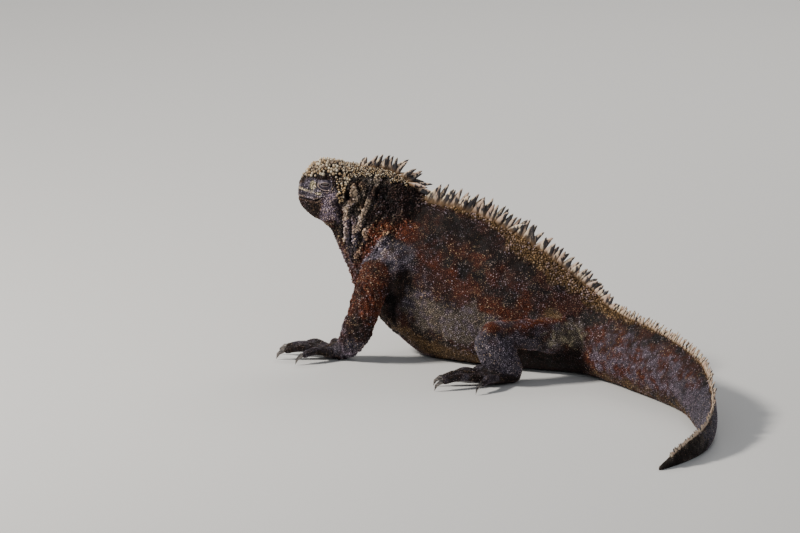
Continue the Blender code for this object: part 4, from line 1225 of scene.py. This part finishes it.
head_turn = np.degrees(np.arctan2(sideways, level - 22))
crown_at, crown_turn = (3, 8, 17, 30, 40, 50, 58, 66, 78), (48, 60, 67, 64, 60, 66, 74, 74, 74)
on_top = head_turn < np.interp(along, crown_at, crown_turn)
from_eye = eye_reach(along, left, level)
nostril_gap = np.sqrt(((np.stack([along, sideways, level], 1) - NOSTRIL_PLACE) ** 2).sum(axis=1))
mouth_level, lip_level = [np.interp(along, *zip(*line)) for line in (MOUTH_LINE, LIP_LINE)]
mouth_gap = np.abs(level - mouth_level)
store(net, "lie", travel, "FLOAT_VECTOR")
print("points on the body:", int(on_body.sum()), "and on the limbs:", int((~on_body).sum()))

# %% [markdown]
# ## Where one kind of scale gives way to the next
# The limits are curves over the measures of the last step. The bosses come first, then the cones round them,
# and plain hide takes what is left. Scales stay off the eye, the nostril, the mouth and the soles.

# %% Limits of the countries
crown = on_top & (along > CROWN_FRONT) & (along < CROWN_BACK) & on_body & (from_eye > 10) & (nostril_gap > 5)
cones_start = np.interp(level, (-2, 10, 22, 40), (57, 55, 55, 50))
cones_end = np.interp(level, (0, 18, 28), (65, 65, 71))
cheek_cones = (along > cones_start) & (along < cones_end) & (level > -1) & (level < 44) & on_body
cheek_cones &= ~crown & (from_eye > 14) & (sideways > 12)
knobs = on_top & (along >= CROWN_BACK) & (along < 92) & on_body & ~cheek_cones
knobs &= height_share > np.interp(along, (60, 72, 92), (0.82, 0.86, 0.925))
nape_share = np.interp(body_at, (10.0, 11.5, 12.6, 13.6), (0.90, 0.925, 0.955, 0.99))
nape_cones = height_share > nape_share + 0.012 * waves(points, 0.012, 23)
nape_cones &= (body_at > 10.0) & (body_at < 13.6) & on_body & ~crown & ~knobs & ~cheek_cones
strip_at = (14.6, 16.5, 18, 18.7, 19.3, 21, 23.5, 25, 26, 28, 32)
strip_widths = (0.009, 0.0105, 0.012, 0.017, 0.029, 0.030, 0.021, 0.011, 0.005, 0.003, 0.001)
strip_half = np.interp(body_at, strip_at, strip_widths) * (1 + 0.16 * waves(points, 0.016, 21))
back_line = np.array([smooth(RINGS, at)[:3] for at in np.arange(0, TAIL_END, FINE_STEP)])
nearest = np.clip((body_at / FINE_STEP).astype(int), 0, len(back_line) - 1)
strip = (body_at > 14.2) & (np.linalg.norm(points - back_line[nearest], axis=1) < strip_half) & on_body

plain = on_body & ~crown & ~cheek_cones & ~nape_cones & ~knobs
face = plain & (body_at < NECK_START) & (from_eye > 8.6) & (nostril_gap > 2.6)
face &= ((mouth_gap > 1.3) | (along > 37)) & ((from_eye > 11.5) | ((level > 31) & (from_eye > 8)))
limb = (part > BODY_PART) & (part < PALM)
countries = {
    "crown": crown,
    "cones": cheek_cones,
    "knobs": knobs | nape_cones,
    "strip": strip,
    "face": face,
    "neck": plain & (body_at >= NECK_START) & (body_at < TORSO_START) & ~strip,
    "torso": on_body & (body_at >= TORSO_START) & (body_at < TAIL_START) & ~strip & (points[:, 2] > 0.004),
    "tail": on_body & (body_at >= TAIL_START) & (body_at < TAIL_SCALES_END) & ~strip & (points[:, 2] > 0.002),
    "fore_limbs": limb & (limb_number < 2),
    "hind_limbs": limb & (limb_number >= 2),
    "hands": (part >= PALM) & (points[:, 2] > 0.0035),
}
for name, country in countries.items():
    store(net, name, country)
print({name: int(country.sum()) for name, country in countries.items()})

# %% [markdown]
# ## Sizes of the scales
# Within its country a scale is larger or smaller by its place: the bosses shrink to the snout and to the edge
# of the crown, the tail's scales to its tip, and the neck has its larger scales on the folds.

# %% Swell of the scales
swell = np.ones(len(points))
relief_there = read(net.attributes["relief"].data, "value", 1, np.float32)
crown_swell = np.interp(along, (3, 14, 36, 60), (0.72, 0.96, 1.12, 0.9))
crown_swell = crown_swell * np.interp(head_turn, (40, 76), (1.0, 0.8))
for name, value in [
    ("crown", crown_swell),
    ("tail", np.interp(body_at, (24.6, 29, 32.6), (1.05, 0.9, 0.6))),
    ("face", np.interp(along, (0, 20, 45, 90), (0.85, 0.9, 1.1, 1.15))),
    ("neck", np.interp(relief_there, (-0.6, 0.0, 0.8), (0.72, 0.9, 1.22))),
    ("hands", 0.9),
]:
    swell = np.where(countries[name], value, swell)
store(net, "swell", swell)
print("scales swell from", round(float(swell.min()), 2), "to", round(float(swell.max()), 2))

# %% [markdown]
# ## Markings
# The colours lie in soft patches: rust on shoulder and arm, a violet grey band behind the neck, olive flanks,
# an ochre strip beside the crest, black between them, and painted shadow in the armpit, under the thigh and on
# the tail's tip. The patches are weights on the skin; the scales inherit them where they root, so skin and
# scales always agree, and noise in the material breaks up the edges.

# %% Patches of colour
# Patches: place along the body, share of the height, spread along, spread in height, strength.
PATCHES = {
    "rust": [
        *[(15.35, 0.76, 0.60, 0.08, 0.95), (13.95, 0.60, 0.45, 0.12, 0.85), (14.25, 0.38, 0.25, 0.16, 0.6)],
        *[(17.5, 0.68, 1.0, 0.07, 0.50), (16.6, 0.76, 0.8, 0.08, 0.42), (18.6, 0.77, 0.9, 0.07, 0.46)],
        *[(19.0, 0.62, 0.8, 0.07, 0.55), (20.4, 0.68, 0.9, 0.08, 0.50), (20.3, 0.53, 1.0, 0.04, 0.65)],
        *[(21.7, 0.69, 0.5, 0.06, 0.65), (25.2, 0.66, 1.1, 0.22, 0.62), (25.9, 0.35, 1.2, 0.22, 0.64)],
        *[(27.4, 0.66, 1.1, 0.18, 0.54)],
    ],
    "slate": [
        *[(14.9, 0.45, 0.45, 0.16, 0.9), (16.2, 0.52, 0.5, 0.14, 0.65), (16.8, 0.38, 0.6, 0.14, 0.55)],
        *[(12.8, 0.30, 0.8, 0.18, 0.6), (26.9, 0.50, 0.5, 0.20, 0.42), (28.4, 0.42, 0.7, 0.26, 0.62)],
        *[(29.8, 0.45, 1.1, 0.40, 1.0)],
    ],
    "olive": [
        *[(32.0, 0.50, 0.9, 0.60, 0.85), (18.4, 0.33, 1.3, 0.09, 0.9), (19.9, 0.58, 0.6, 0.05, 0.3)],
        *[(19.6, 0.40, 0.7, 0.10, 0.8), (11.8, 0.60, 1.1, 0.34, 0.75)],
    ],
    "ochre": [
        *[(18.6, 0.11, 1.4, 0.05, 0.8), (21.65, 0.68, 0.30, 0.04, 1.0), (22.4, 0.62, 0.45, 0.05, 0.8)],
        *[(27.0, 0.10, 2.2, 0.10, 0.55), (12.6, 0.62, 1.1, 0.30, 0.35)],
    ],
    # Black patches, and painted shadow: in the armpit (16.5, 0.28), under the thigh (22.0, 0.20 and 23.1,
    # 0.12) and on the tail's tip (31.9, 0.35).
    "soot": [
        *[(13.3, 0.82, 1.0, 0.10, 1.0), (14.7, 0.89, 1.0, 0.06, 0.9), (13.7, 0.93, 0.7, 0.08, 1.0)],
        *[(16.4, 0.84, 0.9, 0.06, 0.55), (17.2, 0.90, 1.3, 0.06, 0.8), (18.6, 0.86, 0.6, 0.04, 0.6)],
        *[(16.5, 0.28, 0.4, 0.20, 0.9), (22.0, 0.20, 1.3, 0.22, 1.0), (23.1, 0.12, 0.8, 0.25, 1.0)],
        *[(19.8, 0.86, 0.8, 0.05, 0.6), (13.2, 0.66, 0.25, 0.10, 0.9), (31.9, 0.35, 0.9, 0.40, 0.75)],
    ],
    "lilac": [],
    "cream": [],
}


def patch_weight(patches):
    weight = np.zeros(len(points))
    for at, share, wide, tall, strength in patches:
        away = np.hypot((body_at - at) / wide, (height_share - share) / tall)
        weight = np.maximum(weight, strength * soft_step(1.35 - 0.62 * away))
    return weight * on_body


marks = {name: patch_weight(patches) for name, patches in PATCHES.items()}
print("patches:", sum(len(patches) for patches in PATCHES.values()))

# %% [markdown]
# ## Marks of the limbs and of the head
# The limbs have one tone for each part, which fades along it. On the head the marks follow its forms: dark
# jaw and brow, painted shade between the crown's bosses and cones and in the hollow of the ear, pale cheek,
# lip and a spot before the eye. At last every mark is smoothed a little.

# %% Marks of the limbs and of the head
MARK_ROUNDS, MARK_STEP = 6, 0.6


def lay(name, chosen, value):
    """Sets a mark where the choice holds."""
    marks[name] = np.where(chosen, value, marks[name])


def lift(name, value):
    """Raises a mark to a value where it is below it."""
    marks[name] = np.maximum(marks[name], value)


fore, hind = (limb_number >= 0) & (limb_number < 2), limb_number >= 2
fore_upper, fore_lower = [fore & (part == kind) for kind in (UPPER, LOWER)]
hind_upper, hind_lower = [hind & (part == kind) for kind in (UPPER, LOWER)]
lay("rust", fore_upper, 0.80)
lay("rust", fore_lower, 0.60 * soft_step(0.70 - 2.2 * place_along))
lay("rust", hind_upper, 0.30 + 0.35 * (points[:, 2] > 0.076))
lay("slate", fore_lower, 0.72 * soft_step(place_along * 2.0 - 0.4))
lay("slate", hind_lower, 0.78)
lay("slate", hind_upper, 0.48)
lay("slate", part >= PALM, 0.70)
lay("soot", fore_lower, 0.14 + 0.26 * soft_step(1.3 - place_along))
lay("soot", fore_upper, 0.40)
lay("soot", hind_lower, 0.10)
lay("soot", part >= PALM, 0.60)
lay("lilac", fore_lower, 0.62 * soft_step(3.2 * place_along - 2.2))

head = on_body & (along < HEAD_PART)
jaw = head & (level < mouth_level - 0.5)
cheek_front = np.interp(level, (-28, -10, 5), (27, 31, 36))
lip_gap = level - lip_level
lay("slate", head, 0.85)
lay("slate", jaw | knobs, 0.2)
lay("olive", knobs, 0.8)
lay("soot", jaw & (along < 46), 0.76 * soft_step((cheek_front + 3 - along) / 6))
brow = between(along, 23, 56, 5) * between(level, 29.5, 37, 2.5) * head
behind_eye = 1.2 * bell(np.hypot(along - 53, (level - 26) * 0.8), 4.0) * head
lift("soot", np.maximum(1.3 * brow, behind_eye) * (sideways > 12))
# Painted shade: the skin between the crown's bosses and the cones is darkened, where shade falls between them.
lift("soot", 0.9 * (crown | cheek_cones | knobs | nape_cones))
lay("soot", head & (along < 36) & (lip_gap < -0.8) & ~jaw, 0.62)
cheek = 0.74 * between(along, cheek_front, 62, 9) * between(level, -28, 17, 7) * (on_body & ~cheek_cones)
lift("lilac", np.maximum(cheek, 0.55 * between(along, 56, 80, 8) * between(level, -44, -14, 9) * on_body))
marks["soot"] *= 1 - 0.8 * np.clip(marks["lilac"], 0, 1) * head
lift("lilac", 0.50 * between(body_at, 24.4, 29.0, 0.9) * between(height_share, 0.16, 0.86, 0.16) * on_body)
lift("lilac", 0.36 * between(body_at, 16.8, 20.6, 0.8) * between(height_share, 0.22, 0.50, 0.12) * on_body)
lift("soot", 0.85 * between(along, -4, 10, 4) * between(level, 19.5, 31, 3) * head)
# Painted shade in the hollow of the ear.
ear = bell(np.hypot((along - EAR_PLACE[0]) / 0.75, level - EAR_PLACE[2]), 6.5) * (sideways > 20)
lift("soot", 1.3 * ear)
lift("ochre", strip)
lift("cream", 2.6 * bell(np.hypot(along - 21.5, level - 21.2), 2.5) * head * (sideways > 10))
lift("cream", 0.86 * bell(lip_gap - 0.8, 1.1) * between(along, 1, 34, 3) * head)
lift("cream", 0.65 * bell(np.hypot(along - 40, level + 31), 3.6) * on_body)
flap = bell(np.hypot((points[:, 0] - 0.108) / 0.017, (points[:, 2] - 0.059) / 0.011), 1.0)
lift("olive", 1.2 * flap)
lift("cream", 0.48 * flap)
marks["rust"] *= 1 - 0.7 * flap

pairs = edge_pairs(net)
counts = neighbour_counts(pairs, len(points))
for name in marks:
    for turn in range(MARK_ROUNDS):
        mean = neighbour_mean(marks[name], pairs, counts)
        marks[name] = (1 - MARK_STEP) * marks[name] + MARK_STEP * mean
    store(net, name + "_mark", marks[name])
# The skin under the coat gets a low peak, which the hide paints dark as shade between the scales; bare lids
# and lips less so.
bare = (from_eye < 11.5) | ((mouth_gap < 4) & (along < 36) & head)
store(net, "peak", np.where(bare, 0.56, 0.12))
print("marks:", {name: round(float(weight.mean()), 2) for name, weight in marks.items()})

# %% [markdown]
# ## A small kit for materials
# Shader trees are long when they are written node by node, so each node that is needed gets a short name.
# All patterns read the object's own coordinates or the attributes of the piece, and stay on it from any side.

# %% Colours and a small kit for materials
def colour(red, green, blue):
    """A screen colour (0 to 255) as the linear one that shaders take."""
    parts = [value / 255 for value in (red, green, blue)]
    return [part / 12.92 if part <= 0.04045 else ((part + 0.055) / 1.055) ** 2.4 for part in parts] + [1.0]


class Look:
    """A Principled material with short names for the nodes that feed it."""

    def __init__(self, name, roughness):
        self.material = bpy.data.materials.new(name)
        self.material.use_nodes = True
        self.tree = self.material.node_tree
        self.shader = self.tree.nodes["Principled BSDF"]
        self.shader.inputs["Roughness"].default_value = roughness
        self.place = self.node("ShaderNodeTexCoord", {}, "Object")

    def node(self, kind, inputs, output=0, **settings):
        return add_node(self.tree, kind, inputs, output, **settings)

    def attribute(self, name):
        return self.node("ShaderNodeAttribute", {}, "Fac", attribute_name=name)

    def noise(self, scale, detail=4.0, rough=0.55, place=None):
        inputs = {"Vector": place or self.place, "Scale": scale, "Detail": detail, "Roughness": rough}
        return self.node("ShaderNodeTexNoise", inputs, "Fac")

    def cells(self, scale):
        return self.node("ShaderNodeTexVoronoi", {"Vector": self.place, "Scale": scale}, "Distance")

    def stretched(self, scale):
        return self.node("ShaderNodeMapping", {"Vector": self.place, "Scale": scale}, "Vector")

    def fit(self, value, low, high, to_low=0.0, to_high=1.0):
        inputs = {"Value": value, "From Min": low, "From Max": high, "To Min": to_low, "To Max": to_high}
        return self.node("ShaderNodeMapRange", inputs, "Result", interpolation_type="SMOOTHSTEP")

    def sum(self, operation, first, second):
        return self.node("ShaderNodeMath", {0: first, 1: second}, operation=operation)

    def times(self, first, second):
        return self.sum("MULTIPLY", first, second)

    def mix(self, share, first, second, blend="MIX"):
        inputs = {0: share, 6: first, 7: second}
        return self.node("ShaderNodeMix", inputs, 2, data_type="RGBA", blend_type=blend)

    def bump(self, height, distance, strength):
        inputs = {"Height": height, "Distance": distance, "Strength": strength}
        return self.node("ShaderNodeBump", inputs, "Normal")

    def wear(self, base, roughness=None, normal=None):
        for key, socket in (("Base Color", base), ("Roughness", roughness), ("Normal", normal)):
            if socket is not None:
                self.tree.links.new(socket, self.shader.inputs[key])
        return self.material


def clouded(look, mark, scale, soft=0.25):
    """A mark whose edge is broken up by noise."""
    even = look.attribute(mark)
    torn = look.sum("ADD", even, look.fit(look.noise(scale, 5.0, 0.62), 0.25, 0.75, -0.38, 0.38))
    return look.fit(torn, 0.5 - soft, 0.5 + soft)


print("white is", [round(value, 2) for value in colour(255, 255, 255)])

# %% [markdown]
# ## The look of the hide
# One material serves skin and scales. Its ground is charcoal with maroon clouds; the marks lay their colours
# over it through noise. Each scale is painted darker at its foot than at its tip and the skin between the
# scales darker still, a painted shade between them; folds are painted darker in their grooves and lighter on
# their ridges, as painted shade and highlight. About one in five scales is a pale fleck, partly salt on the
# hide and partly a painted glint.

# %% The hide
def hide_look():
    look = Look("hide", 0.5)
    relief = look.attribute("relief")
    ground = look.mix(look.fit(look.noise(34, 6, 0.66), 0.42, 0.60), colour(46, 35, 34), colour(94, 52, 41))
    for mark, scale, tone, second in [
        ("olive_mark", 60, colour(156, 140, 124), colour(102, 92, 86)),
        ("slate_mark", 55, colour(138, 128, 140), colour(76, 69, 84)),
        ("rust_mark", 48, colour(142, 70, 38), colour(88, 40, 28)),
        ("ochre_mark", 70, colour(146, 114, 76), colour(98, 74, 52)),
        ("lilac_mark", 90, colour(182, 162, 178), colour(88, 72, 86)),
        ("soot_mark", 45, colour(26, 18, 16), colour(56, 34, 28)),
        ("cream_mark", 110, colour(250, 236, 190), colour(210, 193, 164)),
    ]:
        tint = look.mix(look.fit(look.noise(scale * 4, 3, 0.6), 0.35, 0.65), tone, second)
        ground = look.mix(clouded(look, mark, scale), ground, tint)
    shade = look.attribute("shade")
    spots = look.fit(look.noise(30, 3, 0.6), 0.42, 0.58)
    fleck = look.mix(spots, colour(214, 184, 146), colour(204, 188, 204))
    pale = look.mix(0.36, ground, fleck)
    # Fewer pale flecks and ridge lights where the black and painted shadow mark lies.
    outside_black_and_shadow = look.fit(look.attribute("soot_mark"), 0.3, 0.9, 1.0, 0.18)
    ground = look.mix(look.times(look.fit(shade, 0.40, 1.0, 0.0, 0.60), outside_black_and_shadow), ground, pale)
    # Pale flecks on some scales: partly salt on the hide and partly a painted glint.
    salt_and_glint = look.times(look.fit(shade, 0.78, 1.0), look.fit(look.noise(24, 4, 0.65), 0.38, 0.62, 0.05, 0.54))
    salt_and_glint = look.times(salt_and_glint, look.times(outside_black_and_shadow, look.fit(look.attribute("ochre_mark"), 0.3, 0.9, 1.0, 0.40)))
    ground = look.mix(salt_and_glint, ground, fleck)
    # Painted shade: each scale is darker at its foot, and the skin between the scales darkest.
    foot = look.fit(look.attribute("peak"), 0.0, 0.85, 0.30, 1.08)
    crumbs = look.fit(look.noise(150, 3, 0.6), 0.36, 0.62, 0.25, 1.0)
    # Painted highlight: the ridges of the folds are lightened to tan.
    ridge = look.times(look.fit(relief, 0.25, 0.9, 0.0, 0.66), look.times(crumbs, outside_black_and_shadow))
    ground = look.mix(ridge, ground, colour(176, 152, 126))
    # Painted shade and highlight: grooves darker, ridges lighter.
    raised = look.fit(relief, -0.9, 0.9, 0.30, 1.45)
    # Each scale has its own random tone; the skin between them, which has no shade attribute, gets the lowest
    # factor, a painted shade.
    each = look.fit(shade, 0.0, 1.0, 0.68, 1.30)
    ground = look.mix(1.0, ground, look.times(look.times(foot, raised), each), "MULTIPLY")
    grain = look.noise(1300, 3, 0.6)
    pores = look.sum("ADD", look.times(look.cells(700), -0.8), look.times(grain, 0.4))
    normal = look.bump(pores, 0.0005, 0.8)
    look.shader.inputs["Specular IOR Level"].default_value = 0.16
    return look.wear(ground, look.fit(look.noise(220, 3), 0.3, 0.7, 0.50, 0.78), normal)


hide = hide_look()
print("hide material:", len(hide.node_tree.nodes), "nodes")

# %% [markdown]
# ## Horn of the crest and of the crown
# The spines are pale horn: brown at the foot, cream to pinkish above, with streaks along the spine and some
# grey tips;
# the front face of each spine is painted pale and its back face dark, as painted light and shade. The bosses
# of the crown are golden tan, with painted shade darkening the gaps between them.

# %% Horn, eye and claw materials
def spine_look():
    look = Look("spine_horn", 0.42)
    peak, shade, front = look.attribute("peak"), look.attribute("shade"), look.attribute("front")
    streak = look.noise(240, 4, 0.6, look.stretched((1, 1, 0.3)))
    # Painted light and shade: the front face of each spine is pale and its back dark, broken by streaks and by
    # each spine's own tone.
    lit = look.sum("ADD", look.times(front, 0.72), look.fit(streak, 0.3, 0.7, -0.8, 0.8))
    lit = look.sum("ADD", lit, look.fit(shade, 0, 1, -0.35, 0.45))
    pale = look.mix(shade, colour(224, 204, 174), colour(186, 156, 136))
    base = look.mix(look.fit(lit, -0.32, 0.36), colour(44, 40, 44), pale)
    base = look.mix(look.fit(peak, 0.48, 0.14, 0, 0.95), base, colour(104, 78, 50))
    base = look.mix(look.fit(peak, 0.85, 1.0, 0, 0.5), base, colour(86, 76, 76))
    return look.wear(base, normal=look.bump(streak, 0.0006, 0.7))


def boss_look():
    look = Look("crown_horn", 0.5)
    peak, shade = look.attribute("peak"), look.attribute("shade")
    top = look.mix(look.fit(shade, 0.15, 0.7), colour(200, 168, 124), colour(240, 225, 198))
    top = look.mix(look.fit(shade, 0.74, 0.84, 0, 0.85), top, colour(118, 90, 66))
    top = look.mix(look.fit(look.noise(60, 3), 0.50, 0.70, 0, 0.6), top, colour(150, 124, 100))
    # Painted shade: each boss and cone is dark at its foot, in the gaps between them, and golden to cream
    # above.
    base = look.mix(look.fit(peak, 0.14, 0.90), colour(36, 26, 22), top)
    grit = look.noise(700, 4, 0.65)
    base = look.mix(look.fit(grit, 0.48, 0.68, 0, 0.65), base, colour(88, 64, 46))
    return look.wear(base, normal=look.bump(grit, 0.0009, 0.9))


def eye_look():
    look = Look("eye_brown", 0.06)
    base = look.mix(look.fit(look.noise(500, 3), 0.4, 0.6), colour(30, 18, 12), colour(70, 42, 24))
    look.shader.inputs["Coat Weight"].default_value = 0.8
    look.shader.inputs["Coat Roughness"].default_value = 0.03
    return look.wear(base)


def claw_look():
    look = Look("claw_horn", 0.32)
    streak = look.noise(420, 4, 0.6, look.stretched((0.4, 0.4, 1.4)))
    base = look.mix(look.fit(streak, 0.36, 0.66), colour(34, 30, 31), colour(126, 117, 110))
    return look.wear(base, normal=look.bump(streak, 0.0004, 0.5))


spine_horn, crown_horn, eye_brown, claw_horn = spine_look(), boss_look(), eye_look(), claw_look()
print("horn materials made")

# %% [markdown]
# ## Growing the coat
# Every country now gets its scales from the one tree: the inputs are set first, then the grown mesh is taken
# from the evaluated object and becomes a plain piece. The root of each scale keeps its place on the skin's
# map.

# %% Scatter
def scatter(name, shape, spacing, width, height, material, uneven, turn, seed):
    """One coat piece on the skin, as a mesh of its own, where the weight of its name is 1."""
    holder = new_object(name + "_scales", skin.data)
    grower = holder.modifiers.new("scales", "NODES")
    grower.node_group = SCATTER
    values = {"Scale Shape": shape, "Cover": name, "Spacing": spacing, "Width": width, "Height": height}
    values |= {"Uneven": uneven, "Turn": turn, "Seed": seed, "Material": material}
    for key, value in values.items():
        grower[SOCKETS[key]] = value
    made = finished_mesh(holder)
    holder.modifiers.clear()
    holder.data = made
    for spare in ("root_map", "patch", "lie", "keep", "swell", "id", *countries):
        if spare in made.attributes:
            made.attributes.remove(made.attributes[spare])
    print(holder.name, sum(len(face.vertices) - 2 for face in made.polygons), "triangles")
    return holder


# Country, shape, least distance, half width, height, material, unevenness, turn.
COAT = [
    ("crown", boss, 0.0033, 0.0023, 0.0043, crown_horn, 0.34, 3.1),
    ("cones", cone_scale, 0.0025, 0.0019, 0.0030, crown_horn, 0.30, 0.5),
    ("knobs", cone_scale, 0.0019, 0.0013, 0.0018, crown_horn, 0.30, 0.5),
    ("strip", cone_scale, 0.0023, 0.0016, 0.0019, hide, 0.30, 0.4),
    ("face", cone_scale, 0.0018, 0.00125, 0.0010, hide, 0.30, 0.8),
    ("neck", cone_scale, 0.0022, 0.00160, 0.0018, hide, 0.32, 0.4),
    ("torso", keeled_scale, 0.0019, 0.00130, 0.0008, hide, 0.24, 0.4),
    ("tail", keeled_scale, 0.0021, 0.00145, 0.0009, hide, 0.22, 0.2),
    ("fore_limbs", keeled_scale, 0.0019, 0.00130, 0.0008, hide, 0.24, 0.4),
    ("hind_limbs", keeled_scale, 0.0019, 0.00130, 0.0008, hide, 0.24, 0.4),
    ("hands", keeled_scale, 0.0017, 0.00115, 0.0006, hide, 0.20, 0.4),
]
coat_pieces = [scatter(*row, seed=5 + number) for number, row in enumerate(COAT)]

# %% [markdown]
# ## Stay within the measured size
# Scales and spines stand a little proud of the solids. What passes the box of the solids is drawn in softly
# over its last millimetres, so the model keeps its stated size and no tip is cut off flat.

# %% Stay in the box
BOX_DEPTH = 0.003
SIDES = [(axis, -1, cad_low[axis]) for axis in (0, 1)] + [(axis, 1, cad_high[axis]) for axis in (0, 1, 2)]


def within_box(points):
    """Draws in what stands past the solids' box, softly, and keeps everything above the floor."""
    for axis, sign, limit in SIDES:
        past = np.maximum(sign * (points[:, axis] - limit) + BOX_DEPTH, 0)
        points[:, axis] -= sign * (past - BOX_DEPTH * np.tanh(past / BOX_DEPTH))
    points[:, 2] = np.maximum(points[:, 2], 0)
    return points


for piece in [skin, *crest_pieces, *coat_pieces]:
    before = coordinates(piece.data)
    drawn_in = within_box(before.copy())
    set_coordinates(piece.data, drawn_in)
    print(piece.name, "drawn in by at most", round(float(np.abs(drawn_in - before).max()) * 1000, 2), "mm")

# %% [markdown]
# ## Dress the frame
# The skin takes the place of every solid of flesh. The claws and the eyes stay as they are and only get
# their materials.

# %% Materials, slots and the replaced solids
def dress(piece, material):
    piece.data.materials.clear()
    piece.data.materials.append(material)


dress(skin, hide)
for piece in crest_pieces:
    dress(piece, spine_horn)
for piece in [skin, *crest_pieces]:
    piece.data.polygons.foreach_set("use_smooth", [True] * len(piece.data.polygons))
for shape in (keeled_scale, cone_scale, boss):
    bpy.data.objects.remove(shape)
for name, solid in frame["nodes"].items():
    if "claw" in name:
        dress(solid, claw_horn)
    elif "eye" in name:
        dress(solid, eye_brown)
    else:
        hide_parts(name)
for piece in [skin, *crest_pieces, *coat_pieces]:
    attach(piece, "root")
new_low, new_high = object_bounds()
sizes = {"solids": [list(map(float, cad_low)), list(map(float, cad_high))]}
sizes["dressed"] = [list(map(float, new_low)), list(map(float, new_high))]
print({name: [[round(v, 4) for v in corner] for corner in box] for name, box in sizes.items()})
